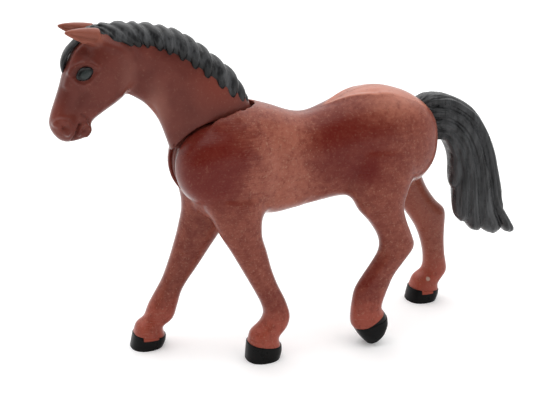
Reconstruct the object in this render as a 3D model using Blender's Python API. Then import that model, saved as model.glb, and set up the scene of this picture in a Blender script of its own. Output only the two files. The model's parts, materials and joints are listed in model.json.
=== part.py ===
"""A walking toy horse of moulded plastic whose head and neck nod between its shoulders.

The horse faces -X and its left side is -Y. While the pieces are made, X = 0 is the neck's
pivot axis, Y = 0 the middle of the body and Z = 0 the ground.
"""

from collections import namedtuple
import math

import bmesh
import bpy
from mathutils import Matrix, Vector

# Trunk
WITHERS_HEIGHT = 0.085
TRUNK_DEPTH = 0.035
BACK_LENGTH = 0.080
SHOULDER_WIDTH = 0.030
WAIST_WIDTH = 0.0216
RUMP_WIDTH = 0.0285
SHELL_WALL = 0.0018
SEAM_GAP = 0.0002

# Legs and hooves
FORE_TRACK = 0.022
HIND_TRACK = 0.026
LEG_WIDTH = 0.0086
HOOF_WIDTH = 0.0114
HOOF_STUB_DIAMETER = 0.0048
HOOF_STUB_LENGTH = 0.0022

# Neck joint
ROOT_RADIUS = 0.0146
ROOT_WIDTH = 0.0070
SHOULDER_LIP = 0.0008
NECK_GAP = 0.0009
SLOT_CLEARANCE = 0.0005
PIN_DIAMETER = 0.0040
PIN_GRIP = 0.0035
PIN_CLEARANCE = 0.00008
NOD_ANGLE = math.radians(60.0)
THROAT_ANGLE = math.radians(159.0)
CROWN_ANGLE = math.radians(101.0)
HEEL_ANGLE = math.radians(33.0)
STOP_ANGLE = math.radians(8.0)

# Head and neck
NECK_LENGTH = 0.050
NECK_WIDTH = 0.0132
HEAD_LENGTH = 0.040
HEAD_WIDTH = 0.0148
MUZZLE_WIDTH = 0.0106
EAR_LENGTH = 0.0126
EAR_WIDTH = 0.0036
EYE_LENGTH = 0.0056
NOSTRIL_LENGTH = 0.0046
LIP_LENGTH = 0.0050

# Mane and tail
MANE_WIDTH = 0.0154
MANE_PEG_DIAMETER = 0.0022
MANE_PEG_LENGTH = 0.0038
MANE_PEG_COVER = 0.0004
LOCK_WIDTH = 0.0040
LOCK_THICKNESS = 0.0024
TAIL_LENGTH = 0.058
TAIL_WIDTH = 0.0112
TAIL_PLUG_DIAMETER = 0.0044
TAIL_PLUG_LENGTH = 0.0052
TAIL_HEAD_DIAMETER = 0.0070
TAIL_HEAD_THICKNESS = 0.0016

# Joining
DOWEL_DIAMETER = 0.0022
DOWEL_LENGTH = 0.0030
BOSS_DIAMETER = 0.0052
FIT_GAP = 0.0003
OVERRUN = 0.0100
WELD_DISTANCE = 0.00001

# Fineness of the moulded surfaces
BODY_VOXEL = 0.0008
HEAD_VOXEL = 0.0006
MANE_VOXEL = 0.0005
MANE_FACE_SHARE = 0.065
BODY_FACE_SHARE = 0.038
HEAD_FACE_SHARE = 0.058
TUBE_SIDES = 28
TUBE_STEPS = 3
SECTION_POWER = 2.3
ROUND_SIDES = 32
PEG_SIDES = 16

# Places that follow from the sizes
PIVOT_DEPTH_SHARE = 0.515
PIVOT_HEIGHT = WITHERS_HEIGHT - PIVOT_DEPTH_SHARE * TRUNK_DEPTH
LEG_LENGTH = WITHERS_HEIGHT - TRUNK_DEPTH
SLOT_RADIUS = ROOT_RADIUS + SLOT_CLEARANCE
SLOT_HALF_WIDTH = ROOT_WIDTH / 2 + SLOT_CLEARANCE
SHOULDER_RADIUS = ROOT_RADIUS + SHOULDER_LIP
PIN_REACH = SLOT_HALF_WIDTH + PIN_GRIP
LIP_ANGLE = THROAT_ANGLE + NOD_ANGLE + STOP_ANGLE

# Trunk sections from chest to rump: place along the back, top and belly below the
# withers as shares of the depth, the width that the section follows and its share of it
TRUNK_SHARES = (
    (-0.075, 0.14, 1.00, SHOULDER_WIDTH, 0.87),
    (0.025, -0.015, 1.085, SHOULDER_WIDTH, 1.00),
    (0.125, -0.04, 1.04, SHOULDER_WIDTH, 0.95),
    (0.225, 0.015, 1.065, SHOULDER_WIDTH, 0.82),
    (0.325, 0.10, 1.040, WAIST_WIDTH, 1.01),
    (0.400, 0.115, 1.010, WAIST_WIDTH, 1.00),
    (0.4875, 0.055, 0.98, WAIST_WIDTH, 1.09),
    (0.5875, -0.035, 0.965, RUMP_WIDTH, 0.93),
    (0.700, -0.077, 0.945, RUMP_WIDTH, 1.00),
    (0.800, -0.03, 0.955, RUMP_WIDTH, 0.98),
    (0.875, 0.05, 0.915, RUMP_WIDTH, 0.88),
    (0.9375, 0.17, 0.785, RUMP_WIDTH, 0.67),
    (0.970, 0.30, 0.63, RUMP_WIDTH, 0.36),
)
# How bluntly the round shoulders meet their rim
SHOULDER_POWER = 3.0
# How far inside the neck's edges its root ends, as a share of the angle between them
ROOT_INSET_SHARE = 0.10

# Leg sections from hip to coronet: front and rear points as shares of the leg's length
# from the ground under the leg's anchor, offset as a share of half the track and width
# as a share of the leg's width
FORE_LEFT_SHARES = (
    (-0.16, 1.16, 0.28, 1.12, 0.77, 1.40),
    (-0.09, 1.00, 0.262, 0.99, 0.86, 1.30),
    (-0.030, 0.88, 0.250, 0.88, 0.91, 1.16),
    (0.034, 0.77, 0.278, 0.77, 0.94, 1.05),
    (0.114, 0.62, 0.312, 0.63, 0.96, 0.95),
    (0.178, 0.498, 0.352, 0.516, 0.98, 0.91),
    (0.222, 0.406, 0.402, 0.406, 1.00, 0.91),
    (0.246, 0.320, 0.434, 0.290, 1.00, 0.98),
    (0.218, 0.254, 0.412, 0.210, 1.00, 1.02),
    (0.152, 0.196, 0.356, 0.144, 1.00, 1.09),
    (0.138, 0.140, 0.364, 0.092, 1.00, 1.21),
    (0.128, 0.120, 0.370, 0.072, 1.00, 1.25),
)
FORE_RIGHT_SHARES = (
    (-0.22, 1.16, 0.24, 1.12, 0.77, 1.40),
    (-0.192, 0.99, 0.16, 0.90, 0.86, 1.30),
    (-0.212, 0.86, 0.084, 0.78, 0.91, 1.16),
    (-0.242, 0.74, 0.000, 0.66, 0.94, 1.05),
    (-0.286, 0.60, -0.084, 0.54, 0.96, 0.95),
    (-0.335, 0.47, -0.152, 0.45, 0.98, 0.91),
    (-0.390, 0.372, -0.194, 0.376, 1.00, 0.91),
    (-0.440, 0.286, -0.226, 0.276, 1.00, 0.98),
    (-0.472, 0.208, -0.260, 0.186, 1.00, 1.02),
    (-0.524, 0.168, -0.332, 0.140, 1.00, 1.09),
    (-0.544, 0.120, -0.326, 0.084, 1.00, 1.21),
    (-0.550, 0.096, -0.318, 0.060, 1.00, 1.25),
)
HIND_LEFT_SHARES = (
    (-0.29, 1.36, 0.30, 1.36, 0.62, 1.51),
    (-0.28, 1.14, 0.22, 1.16, 0.73, 1.44),
    (-0.22, 0.986, 0.136, 0.99, 0.85, 1.28),
    (-0.124, 0.87, 0.145, 0.88, 0.91, 1.12),
    (-0.062, 0.76, 0.192, 0.756, 0.95, 1.00),
    (-0.060, 0.668, 0.208, 0.68, 0.98, 0.95),
    (-0.114, 0.578, 0.140, 0.592, 1.00, 0.91),
    (-0.182, 0.484, 0.064, 0.496, 1.00, 0.88),
    (-0.234, 0.400, 0.022, 0.400, 1.00, 0.88),
    (-0.250, 0.300, -0.016, 0.304, 1.00, 0.93),
    (-0.256, 0.210, -0.024, 0.252, 1.00, 1.02),
    (-0.252, 0.148, 0.010, 0.204, 1.00, 1.12),
    (-0.240, 0.130, 0.016, 0.190, 1.00, 1.16),
)
HIND_RIGHT_SHARES = (
    (-0.12, 1.36, 0.38, 1.36, 0.62, 1.51),
    (0.00, 1.20, 0.435, 1.16, 0.73, 1.44),
    (0.14, 1.04, 0.495, 1.02, 0.85, 1.28),
    (0.28, 0.88, 0.560, 0.90, 0.91, 1.12),
    (0.38, 0.74, 0.646, 0.79, 0.95, 1.00),
    (0.446, 0.65, 0.726, 0.71, 0.98, 0.98),
    (0.498, 0.57, 0.734, 0.58, 1.00, 0.91),
    (0.540, 0.47, 0.734, 0.47, 1.00, 0.88),
    (0.570, 0.35, 0.746, 0.35, 1.00, 0.88),
    (0.566, 0.24, 0.770, 0.23, 1.00, 0.95),
    (0.496, 0.186, 0.742, 0.176, 1.00, 1.05),
    (0.476, 0.136, 0.700, 0.126, 1.00, 1.12),
    (0.466, 0.104, 0.704, 0.074, 1.00, 1.21),
)

# Hoof walls from coronet to sole, in the shares of their leg, width as a share of the
# hoof's width
HOOF_FORE_LEFT_SHARES = (
    (0.126, 0.130, 0.374, 0.084, 1.00, 0.94),
    (0.120, 0.060, 0.374, 0.045, 1.00, 0.99),
    (0.116, 0.000, 0.360, 0.000, 1.00, 1.00),
)
HOOF_FORE_RIGHT_SHARES = (
    (-0.552, 0.106, -0.314, 0.070, 1.00, 0.94),
    (-0.564, 0.050, -0.320, 0.035, 1.00, 0.99),
    (-0.574, 0.000, -0.340, 0.000, 1.00, 1.00),
)
HOOF_HIND_LEFT_SHARES = (
    (-0.236, 0.130, 0.016, 0.190, 1.00, 0.92),
    (-0.190, 0.058, 0.018, 0.148, 1.00, 0.99),
    (-0.136, -0.002, 0.000, 0.112, 1.00, 0.90),
)
HOOF_HIND_RIGHT_SHARES = (
    (0.462, 0.108, 0.706, 0.078, 1.00, 0.94),
    (0.450, 0.050, 0.700, 0.040, 1.00, 0.99),
    (0.442, 0.000, 0.682, 0.000, 1.00, 1.00),
)
HIP_SHARE = 0.70
LEG_OUTLINE_SHARE = 0.955

# Neck sections from root to poll: throat and crest points from the pivot as shares of
# the size that the section follows, and width as a share of the neck's width
NECK_SHARES = (
    (-0.940, -0.07, 0.890, 0.448, ROOT_RADIUS, 1.00),
    (-0.980, 0.27, 0.904, 0.788, ROOT_RADIUS, 1.02),
    (-1.085, 0.645, 0.822, 1.205, ROOT_RADIUS, 1.04),
    (-0.362, 0.31, 0.152, 0.512, NECK_LENGTH, 1.04),
    (-0.432, 0.408, 0.010, 0.656, NECK_LENGTH, 1.02),
    (-0.500, 0.460, -0.13, 0.765, NECK_LENGTH, 0.98),
    (-0.550, 0.490, -0.285, 0.85, NECK_LENGTH, 0.97),
    (-0.590, 0.54, -0.44, 0.895, NECK_LENGTH, 0.98),
    (-0.620, 0.65, -0.60, 0.905, NECK_LENGTH, 0.95),
    (-0.680, 0.73, -0.68, 0.88, NECK_LENGTH, 0.80),
)
ROOT_ROWS = 5

# Head sections from poll to lips: face and jaw points as shares of the head's length
# from the poll, the width that the section follows and its share of it
POLL_SHARES = (-0.66, 0.88)
HEAD_SHARES = (
    (-0.10, -0.02, 0.10, 0.010, HEAD_WIDTH, 0.62),
    (-0.230, -0.105, 0.20, -0.110, HEAD_WIDTH, 0.88),
    (-0.285, -0.190, 0.212, -0.270, HEAD_WIDTH, 0.98),
    (-0.332, -0.290, 0.176, -0.410, HEAD_WIDTH, 0.97),
    (-0.368, -0.400, 0.096, -0.512, HEAD_WIDTH, 0.86),
    (-0.408, -0.505, -0.036, -0.600, HEAD_WIDTH, 0.74),
    (-0.444, -0.600, -0.124, -0.660, MUZZLE_WIDTH, 0.95),
    (-0.460, -0.672, -0.150, -0.702, MUZZLE_WIDTH, 1.00),
    (-0.446, -0.734, -0.155, -0.745, MUZZLE_WIDTH, 0.94),
    (-0.402, -0.794, -0.190, -0.788, MUZZLE_WIDTH, 0.70),
    (-0.350, -0.822, -0.250, -0.806, MUZZLE_WIDTH, 0.32),
)
EAR_ROOT_SHARES = (-0.06, -0.04, 0.30)
EAR_TIP_SHARES = (-0.84, 0.18, 0.20)
EAR_SHARES = (
    (0.00, 0.48, 1.30),
    (0.30, 0.42, 1.25),
    (0.60, 0.31, 1.05),
    (0.85, 0.17, 0.70),
    (1.00, 0.07, 0.35),
)
# Eyes, lower lip and nostrils: places from the poll, how far out they sit as a share of the
# head's or muzzle's width, and their breadth and height as shares of their length
EYE_SHARES = (-0.193, -0.283)
EYE_OUT_SHARE = 0.42
EYE_SIZE_SHARES = (0.60, 0.80)
LIP_SHARES = (-0.205, -0.735)
LIP_SIZE_SHARES = (1.36, 0.90)
NOSTRIL_SHARES = (-0.366, -0.682)
NOSTRIL_OUT_SHARE = 0.34
NOSTRIL_SIZE_SHARES = (0.92, 1.00)

# Mane sections from the tip of the forelock to the withers: under and outer points as
# shares of the neck's length from the pivot, and width as a share of the mane's width
MANE_SHARES = (
    (-0.906, 0.648, -0.938, 0.636, 0.10),
    (-0.884, 0.712, -0.946, 0.696, 0.30),
    (-0.850, 0.775, -0.918, 0.770, 0.38),
    (-0.800, 0.805, -0.862, 0.834, 0.32),
    (-0.755, 0.835, -0.796, 0.884, 0.24),
    (-0.710, 0.820, -0.730, 0.900, 0.40),
    (-0.640, 0.740, -0.640, 0.920, 0.66),
    (-0.508, 0.720, -0.484, 0.916, 0.82),
    (-0.368, 0.692, -0.294, 0.880, 0.84),
    (-0.243, 0.620, -0.152, 0.814, 0.84),
    (-0.115, 0.520, -0.002, 0.696, 0.82),
    (-0.010, 0.420, 0.120, 0.584, 0.76),
    (0.060, 0.376, 0.190, 0.462, 0.58),
    (0.120, 0.345, 0.214, 0.392, 0.30),
)
# The mane's locks on each side: where on the mane the first and the last leave the crest,
# how far they slant back, and along each lock its way down the side, its width and its
# thickness as shares of a lock's
LOCK_COUNT = 13
LOCK_FIRST_SHARE = 0.40
LOCK_LAST_SHARE = 0.93
LOCK_SLANT_SHARE = 0.085
LOCK_STEP = 0.1
LOCK_REACH = math.radians(112.0)
LOCK_SHARES = (
    (-0.10, 0.70, 0.60),
    (0.15, 1.00, 1.00),
    (0.50, 1.00, 1.00),
    (0.85, 0.75, 0.80),
    (1.12, 0.16, 0.25),
)
MANE_PEG_ROWS = (7, 10)

# Tail sections from root to tip: under and outer points as shares of the tail's length
# from the rump, and width as a share of the tail's width
TAIL_ANCHOR_SHARES = (0.97, 0.30)
TAIL_SHARES = (
    (-0.097, -0.078, -0.140, 0.110, 0.60),
    (0.024, -0.138, -0.062, 0.152, 0.78),
    (0.067, -0.138, 0.050, 0.154, 0.86),
    (0.107, -0.181, 0.206, 0.088, 0.92),
    (0.138, -0.259, 0.314, -0.009, 0.96),
    (0.150, -0.353, 0.412, -0.175, 1.00),
    (0.146, -0.457, 0.480, -0.380, 1.00),
    (0.150, -0.560, 0.514, -0.520, 0.98),
    (0.156, -0.660, 0.560, -0.640, 0.94),
    (0.170, -0.760, 0.640, -0.730, 0.86),
    (0.200, -0.850, 0.690, -0.790, 0.74),
)
# The tail's strands: middle and breadth as shares of the way from its under to its outer
# side, where each ends along the tail, and thickness as a share of the tail's
STRAND_SHARES = (
    (0.10, 0.20, 0.61, 0.75),
    (0.23, 0.24, 0.83, 0.90),
    (0.39, 0.27, 0.91, 1.00),
    (0.61, 0.34, 0.96, 1.00),
    (0.83, 0.22, 1.00, 0.90),
    (0.86, 0.22, 0.84, 0.90),
    (0.92, 0.15, 0.62, 0.65),
)
# How a strand narrows towards its end: place along it and its share of the full size
STRAND_TAPER_SHARES = (
    (0.00, 1.00),
    (0.15, 1.00),
    (0.30, 1.00),
    (0.45, 1.00),
    (0.60, 1.00),
    (0.75, 1.00),
    (0.87, 0.96),
    (0.95, 0.78),
    (1.00, 0.30),
)

# Locating dowels: places on the seam as shares of the back's length and the trunk's
# depth below the withers, and of the neck's length from the pivot
BODY_DOWEL_SHARES = ((0.42, 0.50), (0.60, 0.28), (0.72, 0.66))
NECK_DOWEL_SHARES = ((-0.10, 0.42), (-0.46, 0.68), (-0.80, 0.44))

BROWN = (0.215, 0.058, 0.036)
BLACK = (0.028, 0.030, 0.031)
PIN_GREY = (0.30, 0.30, 0.31)
SATIN_ROUGHNESS = 0.38
MATT_ROUGHNESS = 0.52
SHARP_ANGLE = math.radians(40.0)


def clear_scene():
    for item in list(bpy.data.objects):
        bpy.data.objects.remove(item)


def plastic(name, colour, roughness):
    """Give a moulded plastic in one colour."""
    material = bpy.data.materials.new(name)
    material.use_nodes = True
    shader = material.node_tree.nodes["Principled BSDF"]
    shader.inputs["Base Color"].default_value = (*colour, 1)
    shader.inputs["Roughness"].default_value = roughness
    shader.inputs["Metallic"].default_value = 0
    material.diffuse_color = (*colour, 1)
    return material


def between(rows, position):
    """Read a table of rows at a fractional place, on a smooth curve through the rows."""
    index = min(int(position), len(rows) - 2)
    t = position - index
    near, far = rows[index], rows[index + 1]
    before = rows[max(index - 1, 0)]
    after = rows[min(index + 2, len(rows) - 1)]
    values = []
    for a, b, c, d in zip(before, near, far, after):
        slope_b = (c - a) / 2
        slope_c = (d - b) / 2
        rise = c - b
        bend = 3 * rise - 2 * slope_b - slope_c
        twist = slope_b + slope_c - 2 * rise
        values.append(b + slope_b * t + bend * t ** 2 + twist * t ** 3)
    return values


def rounded(value, power):
    return math.copysign(abs(value) ** (2 / power), value)


def section(low_x, low_z, high_x, high_z, y, width):
    """An upright oval section: its middle and its two half axes."""
    low = Vector((low_x, y, low_z))
    high = Vector((high_x, y, high_z))
    return (*(low + high) / 2, *(high - low) / 2, 0, width / 2, 0)


def tube(mesh, rows, sides=TUBE_SIDES, steps=TUBE_STEPS):
    """Add a closed tube drawn through oval sections to a bmesh."""
    rings = (len(rows) - 1) * steps
    piece = bmesh.new()
    bmesh.ops.create_cone(
        piece, cap_ends=True, segments=sides, radius1=1, radius2=1, depth=1
    )
    upright = [edge for edge in piece.edges if edge.verts[0].co.z * edge.verts[1].co.z < 0]
    bmesh.ops.subdivide_edges(piece, edges=upright, cuts=rings - 1, use_grid_fill=True)
    for vert in piece.verts:
        angle = math.atan2(vert.co.y, vert.co.x)
        values = between(rows, (vert.co.z + 0.5) * (len(rows) - 1))
        middle, tall, wide = Vector(values[:3]), Vector(values[3:6]), Vector(values[6:])
        up = rounded(math.cos(angle), SECTION_POWER)
        aside = rounded(math.sin(angle), SECTION_POWER)
        vert.co = middle + tall * up + wide * aside
    bmesh.ops.recalc_face_normals(piece, faces=piece.faces)
    data = bpy.data.meshes.new("tube")
    piece.to_mesh(data)
    piece.free()
    mesh.from_mesh(data)
    bpy.data.meshes.remove(data)


def new_object(name, mesh):
    """Make an object from a bmesh and free the bmesh."""
    bmesh.ops.recalc_face_normals(mesh, faces=mesh.faces)
    data = bpy.data.meshes.new(name)
    mesh.to_mesh(data)
    mesh.free()
    item = bpy.data.objects.new(name, data)
    bpy.context.collection.objects.link(item)
    return item


def bake(item):
    """Replace an object's mesh by the one that its modifiers make."""
    bpy.context.view_layer.update()
    graph = bpy.context.evaluated_depsgraph_get()
    data = bpy.data.meshes.new_from_object(item.evaluated_get(graph))
    item.modifiers.clear()
    item.data = data


def moulded(name, mesh, voxel, smoothing, face_share):
    """Blend overlapping tubes into one skin, soften it and thin its faces."""
    item = new_object(name, mesh)
    skin = item.modifiers.new("skin", "REMESH")
    skin.mode = "VOXEL"
    skin.voxel_size = voxel
    soften = item.modifiers.new("soften", "SMOOTH")
    soften.factor = 0.5
    soften.iterations = smoothing
    thin = item.modifiers.new("thin", "DECIMATE")
    thin.ratio = face_share
    bake(item)
    return item


def combine(item, other, operation, keep=False):
    """Join, cut or trim an object by another one, which is then removed."""
    change = item.modifiers.new("change", "BOOLEAN")
    change.operation = operation
    change.object = other
    change.solver = "EXACT"
    bake(item)
    if not keep:
        bpy.data.objects.remove(other)


def weld(item):
    """Merge corners that cuts have left almost on top of one another."""
    mesh = bmesh.new()
    mesh.from_mesh(item.data)
    bmesh.ops.remove_doubles(mesh, verts=mesh.verts, dist=WELD_DISTANCE)
    bmesh.ops.dissolve_degenerate(mesh, edges=mesh.edges, dist=WELD_DISTANCE)
    mesh.to_mesh(item.data)
    mesh.free()


def twin(item, name):
    """Copy an object with its own mesh."""
    copy = bpy.data.objects.new(name, item.data.copy())
    bpy.context.collection.objects.link(copy)
    return copy


def swollen(item, gap):
    """Copy an object with its surface moved out by a gap."""
    copy = twin(item, "swollen")
    mesh = bmesh.new()
    mesh.from_mesh(copy.data)
    mesh.normal_update()
    moves = [(vert, vert.normal * gap) for vert in mesh.verts]
    for vert, move in moves:
        vert.co += move
    mesh.to_mesh(copy.data)
    mesh.free()
    return copy


def rod(start, end, diameter, sides=ROUND_SIDES):
    """Make a round rod between two points."""
    start, end = Vector(start), Vector(end)
    axis = end - start
    mesh = bmesh.new()
    bmesh.ops.create_cone(
        mesh, cap_ends=True, segments=sides,
        radius1=diameter / 2, radius2=diameter / 2, depth=axis.length,
    )
    turn = Vector((0, 0, 1)).rotation_difference(axis).to_matrix().to_4x4()
    bmesh.ops.transform(
        mesh, matrix=Matrix.Translation((start + end) / 2) @ turn, verts=mesh.verts
    )
    return new_object("rod", mesh)


def sector(profile, start, end):
    """Turn a closed profile of (radius, y) points about the pivot, from angle to angle."""
    mesh = bmesh.new()
    turn = Matrix.Rotation(-start, 3, "Y")
    pivot = Vector((0, 0, PIVOT_HEIGHT))
    corners = [
        mesh.verts.new(pivot + turn @ Vector((radius, y, 0))) for radius, y in profile
    ]
    face = mesh.faces.new(corners)
    steps = max(2, round(ROUND_SIDES * (end - start) / math.tau))
    swept = bmesh.ops.spin(
        mesh, geom=[face, *face.edges, *face.verts], cent=pivot, axis=(0, -1, 0),
        angle=end - start, steps=steps, use_duplicate=False,
    )
    caps = [item for item in swept["geom_last"] if isinstance(item, bmesh.types.BMFace)]
    if not caps:
        raise ValueError("the turned profile has no end")
    return new_object("sector", mesh)


def trunk_rows(inset=0):
    rows = []
    for along, top, belly, width, share in TRUNK_SHARES:
        x = along * BACK_LENGTH
        high = WITHERS_HEIGHT - top * TRUNK_DEPTH - inset
        low = WITHERS_HEIGHT - belly * TRUNK_DEPTH + inset
        rows.append(section(x, low, x, high, 0, width * share - 2 * inset))
    return rows


def add_shoulders(mesh, gap=0):
    """Add the round shoulders about the pivot, with their surface moved out by a gap."""
    radius = SHOULDER_RADIUS + gap
    reach = SHOULDER_WIDTH / 2 + gap
    ball = bmesh.ops.create_uvsphere(
        mesh, u_segments=2 * ROUND_SIDES, v_segments=ROUND_SIDES, radius=1
    )
    for vert in ball["verts"]:
        around = math.atan2(vert.co.y, vert.co.x)
        out = radius * rounded(math.hypot(vert.co.x, vert.co.y), SHOULDER_POWER)
        aside = reach * rounded(vert.co.z, SHOULDER_POWER)
        vert.co = (out * math.cos(around), -aside, PIVOT_HEIGHT + out * math.sin(around))
    mesh.normal_update()


Leg = namedtuple("Leg", "shares hoof_shares anchor side track")
HIP = HIP_SHARE * BACK_LENGTH
LEGS = {
    "front_left": Leg(FORE_LEFT_SHARES, HOOF_FORE_LEFT_SHARES, 0, -1, FORE_TRACK),
    "front_right": Leg(FORE_RIGHT_SHARES, HOOF_FORE_RIGHT_SHARES, 0, 1, FORE_TRACK),
    "hind_left": Leg(HIND_LEFT_SHARES, HOOF_HIND_LEFT_SHARES, HIP, -1, HIND_TRACK),
    "hind_right": Leg(HIND_RIGHT_SHARES, HOOF_HIND_RIGHT_SHARES, HIP, 1, HIND_TRACK),
}


def leg_rows(leg, shares, width):
    """Sections down a leg or a hoof."""
    rows = []
    for front_x, front_z, rear_x, rear_z, offset, share in shares:
        front = Vector((leg.anchor + front_x * LEG_LENGTH, 0, front_z * LEG_LENGTH))
        rear = Vector((leg.anchor + rear_x * LEG_LENGTH, 0, rear_z * LEG_LENGTH))
        trim = (rear - front) * (1 - LEG_OUTLINE_SHARE) / 2
        front, rear = front + trim, rear - trim
        y = leg.side * offset * leg.track / 2
        rows.append(section(front.x, front.z, rear.x, rear.z, y, share * width))
    return rows


def hoof_rows(leg):
    return leg_rows(leg, leg.hoof_shares, HOOF_WIDTH)


def neck_rows(inset=0):
    rows = []
    for low_x, low_z, high_x, high_z, size, share in NECK_SHARES:
        low = Vector((low_x, 0, low_z)) * size
        high = Vector((high_x, 0, high_z)) * size
        step = (high - low).normalized() * inset
        low, high = low + step, high - step
        rows.append(section(
            low.x, PIVOT_HEIGHT + low.z, high.x, PIVOT_HEIGHT + high.z, 0,
            share * NECK_WIDTH - 2 * inset,
        ))
    return rows


def head_point(shares, y=0):
    poll = Vector((POLL_SHARES[0] * NECK_LENGTH, 0, PIVOT_HEIGHT + POLL_SHARES[1] * NECK_LENGTH))
    return poll + Vector((shares[0] * HEAD_LENGTH, y, shares[1] * HEAD_LENGTH))


def head_rows(inset=0):
    rows = []
    for face_x, face_z, jaw_x, jaw_z, width, share in HEAD_SHARES:
        face = head_point((face_x, face_z))
        jaw = head_point((jaw_x, jaw_z))
        step = (face - jaw).normalized() * inset
        jaw, face = jaw + step, face - step
        rows.append(section(jaw.x, jaw.z, face.x, face.z, 0, width * share - 2 * inset))
    return rows


def mane_rows():
    rows = []
    for low_x, low_z, high_x, high_z, share in MANE_SHARES:
        rows.append(section(
            low_x * NECK_LENGTH, PIVOT_HEIGHT + low_z * NECK_LENGTH,
            high_x * NECK_LENGTH, PIVOT_HEIGHT + high_z * NECK_LENGTH,
            0, share * MANE_WIDTH,
        ))
    return rows


def tail_anchor():
    along, below = TAIL_ANCHOR_SHARES
    return Vector((along * BACK_LENGTH, 0, WITHERS_HEIGHT - below * TRUNK_DEPTH))


def tail_rows():
    root = tail_anchor()
    rows = []
    for low_x, low_z, high_x, high_z, share in TAIL_SHARES:
        rows.append(section(
            root.x + low_x * TAIL_LENGTH, root.z + low_z * TAIL_LENGTH,
            root.x + high_x * TAIL_LENGTH, root.z + high_z * TAIL_LENGTH,
            0, share * TAIL_WIDTH,
        ))
    return rows


def add_ball(mesh, centre, length, size_shares):
    """Add an oval ball to a bmesh."""
    breadth, height = size_shares
    radii = Vector((1, breadth, height)) * length / 2
    matrix = Matrix.Translation(centre) @ Matrix.Diagonal((*radii, 1))
    bmesh.ops.create_uvsphere(mesh, u_segments=20, v_segments=12, radius=1, matrix=matrix)


def add_ear(mesh, side):
    """Add a pointed ear that leans forward."""
    root_x, root_z, apart = EAR_ROOT_SHARES
    lean_x, lean_y, lean_z = EAR_TIP_SHARES
    base = head_point((root_x, root_z), side * HEAD_WIDTH * apart)
    tip = base + Vector((lean_x, side * lean_y, lean_z)) * EAR_LENGTH
    rows = []
    for share, height, width in EAR_SHARES:
        centre = base.lerp(tip, share)
        half_height = height * EAR_LENGTH / 2
        rows.append(section(
            centre.x, centre.z - half_height, centre.x, centre.z + half_height,
            centre.y, width * EAR_WIDTH,
        ))
    tube(mesh, rows, sides=16, steps=2)


def body_skin():
    """Trunk, shoulders and four legs as one skin."""
    mesh = bmesh.new()
    tube(mesh, trunk_rows())
    add_shoulders(mesh)
    for leg in LEGS.values():
        rows = leg_rows(leg, leg.shares, LEG_WIDTH) + hoof_rows(leg)[1:2]
        tube(mesh, rows, sides=20)
    return moulded("body_skin", mesh, BODY_VOXEL, 4, BODY_FACE_SHARE)


def neck_skin():
    """Neck, head, ears, eyes and lips as one skin."""
    mesh = bmesh.new()
    tube(mesh, neck_rows())
    tube(mesh, head_rows())
    add_ball(mesh, head_point(LIP_SHARES), LIP_LENGTH, LIP_SIZE_SHARES)
    for side in (-1, 1):
        add_ear(mesh, side)
        eye = head_point(EYE_SHARES, side * HEAD_WIDTH * EYE_OUT_SHARE)
        add_ball(mesh, eye, EYE_LENGTH, EYE_SIZE_SHARES)
        nostril = head_point(NOSTRIL_SHARES, side * MUZZLE_WIDTH * NOSTRIL_OUT_SHARE)
        add_ball(mesh, nostril, NOSTRIL_LENGTH, NOSTRIL_SIZE_SHARES)
    return moulded("neck_skin", mesh, HEAD_VOXEL, 2, HEAD_FACE_SHARE)


def across(place, reach, diameter):
    """Make a rod across the body, out to a reach on both sides of the seam."""
    return rod((place.x, -reach, place.z), (place.x, reach, place.z), diameter)


def pivot_point():
    return Vector((0, 0, PIVOT_HEIGHT))


def hoof_frame(leg):
    """A frame on the middle of a hoof's top, with X to the rear and Z up the leg."""
    top = hoof_rows(leg)[0]
    backwards = Vector(top[3:6]).normalized()
    across_leg = Vector((0, 1, 0))
    axes = Matrix((backwards, across_leg, backwards.cross(across_leg))).transposed()
    return Matrix.Translation(Vector(top[:3])) @ axes.to_4x4()


def below_coronet(leg):
    """Make a block that holds everything under a hoof's top."""
    mesh = bmesh.new()
    bmesh.ops.create_cube(mesh, size=2 * HOOF_WIDTH)
    drop = Matrix.Translation((0, 0, FIT_GAP - HOOF_WIDTH))
    bmesh.ops.transform(mesh, matrix=hoof_frame(leg) @ drop, verts=mesh.verts)
    return new_object("below_coronet", mesh)


def hoof_stub(leg, gap):
    """The round stub under a leg that its hoof is pressed onto."""
    frame = hoof_frame(leg)
    top = frame @ Vector((0, 0, HOOF_STUB_LENGTH))
    bottom = frame @ Vector((0, 0, -HOOF_STUB_LENGTH - gap))
    return rod(top, bottom, HOOF_STUB_DIAMETER + 2 * gap, sides=PEG_SIDES)


def shoulder_shape(gap):
    mesh = bmesh.new()
    add_shoulders(mesh, gap)
    return new_object("shoulder_shape", mesh)


def ring_part(inner, outer, half_width, start, end):
    """Part of a flat ring about the pivot, from angle to angle."""
    profile = (
        (inner, -half_width), (outer, -half_width), (outer, half_width), (inner, half_width),
    )
    return sector(profile, start, end)


def slot_spaces():
    """The spaces for the neck at rest, for its nod round the shoulders and for its root."""
    mesh = bmesh.new()
    tube(mesh, neck_rows(-SLOT_CLEARANCE)[:ROOT_ROWS])
    rest_space = new_object("rest_space", mesh)
    combine(rest_space, shoulder_shape(0), "DIFFERENCE")
    nod_space = ring_part(
        SHOULDER_RADIUS + NECK_GAP / 2, SHOULDER_RADIUS + OVERRUN,
        NECK_WIDTH / 2 + 2 * SLOT_CLEARANCE, CROWN_ANGLE, LIP_ANGLE,
    )
    slit = ring_part(
        ROOT_RADIUS / 2, SHOULDER_RADIUS + NECK_GAP, SLOT_HALF_WIDTH - SEAM_GAP,
        HEEL_ANGLE, LIP_ANGLE,
    )
    root_space = across(pivot_point(), SLOT_HALF_WIDTH, 2 * SLOT_RADIUS)
    return rest_space, nod_space, slit, root_space


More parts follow.
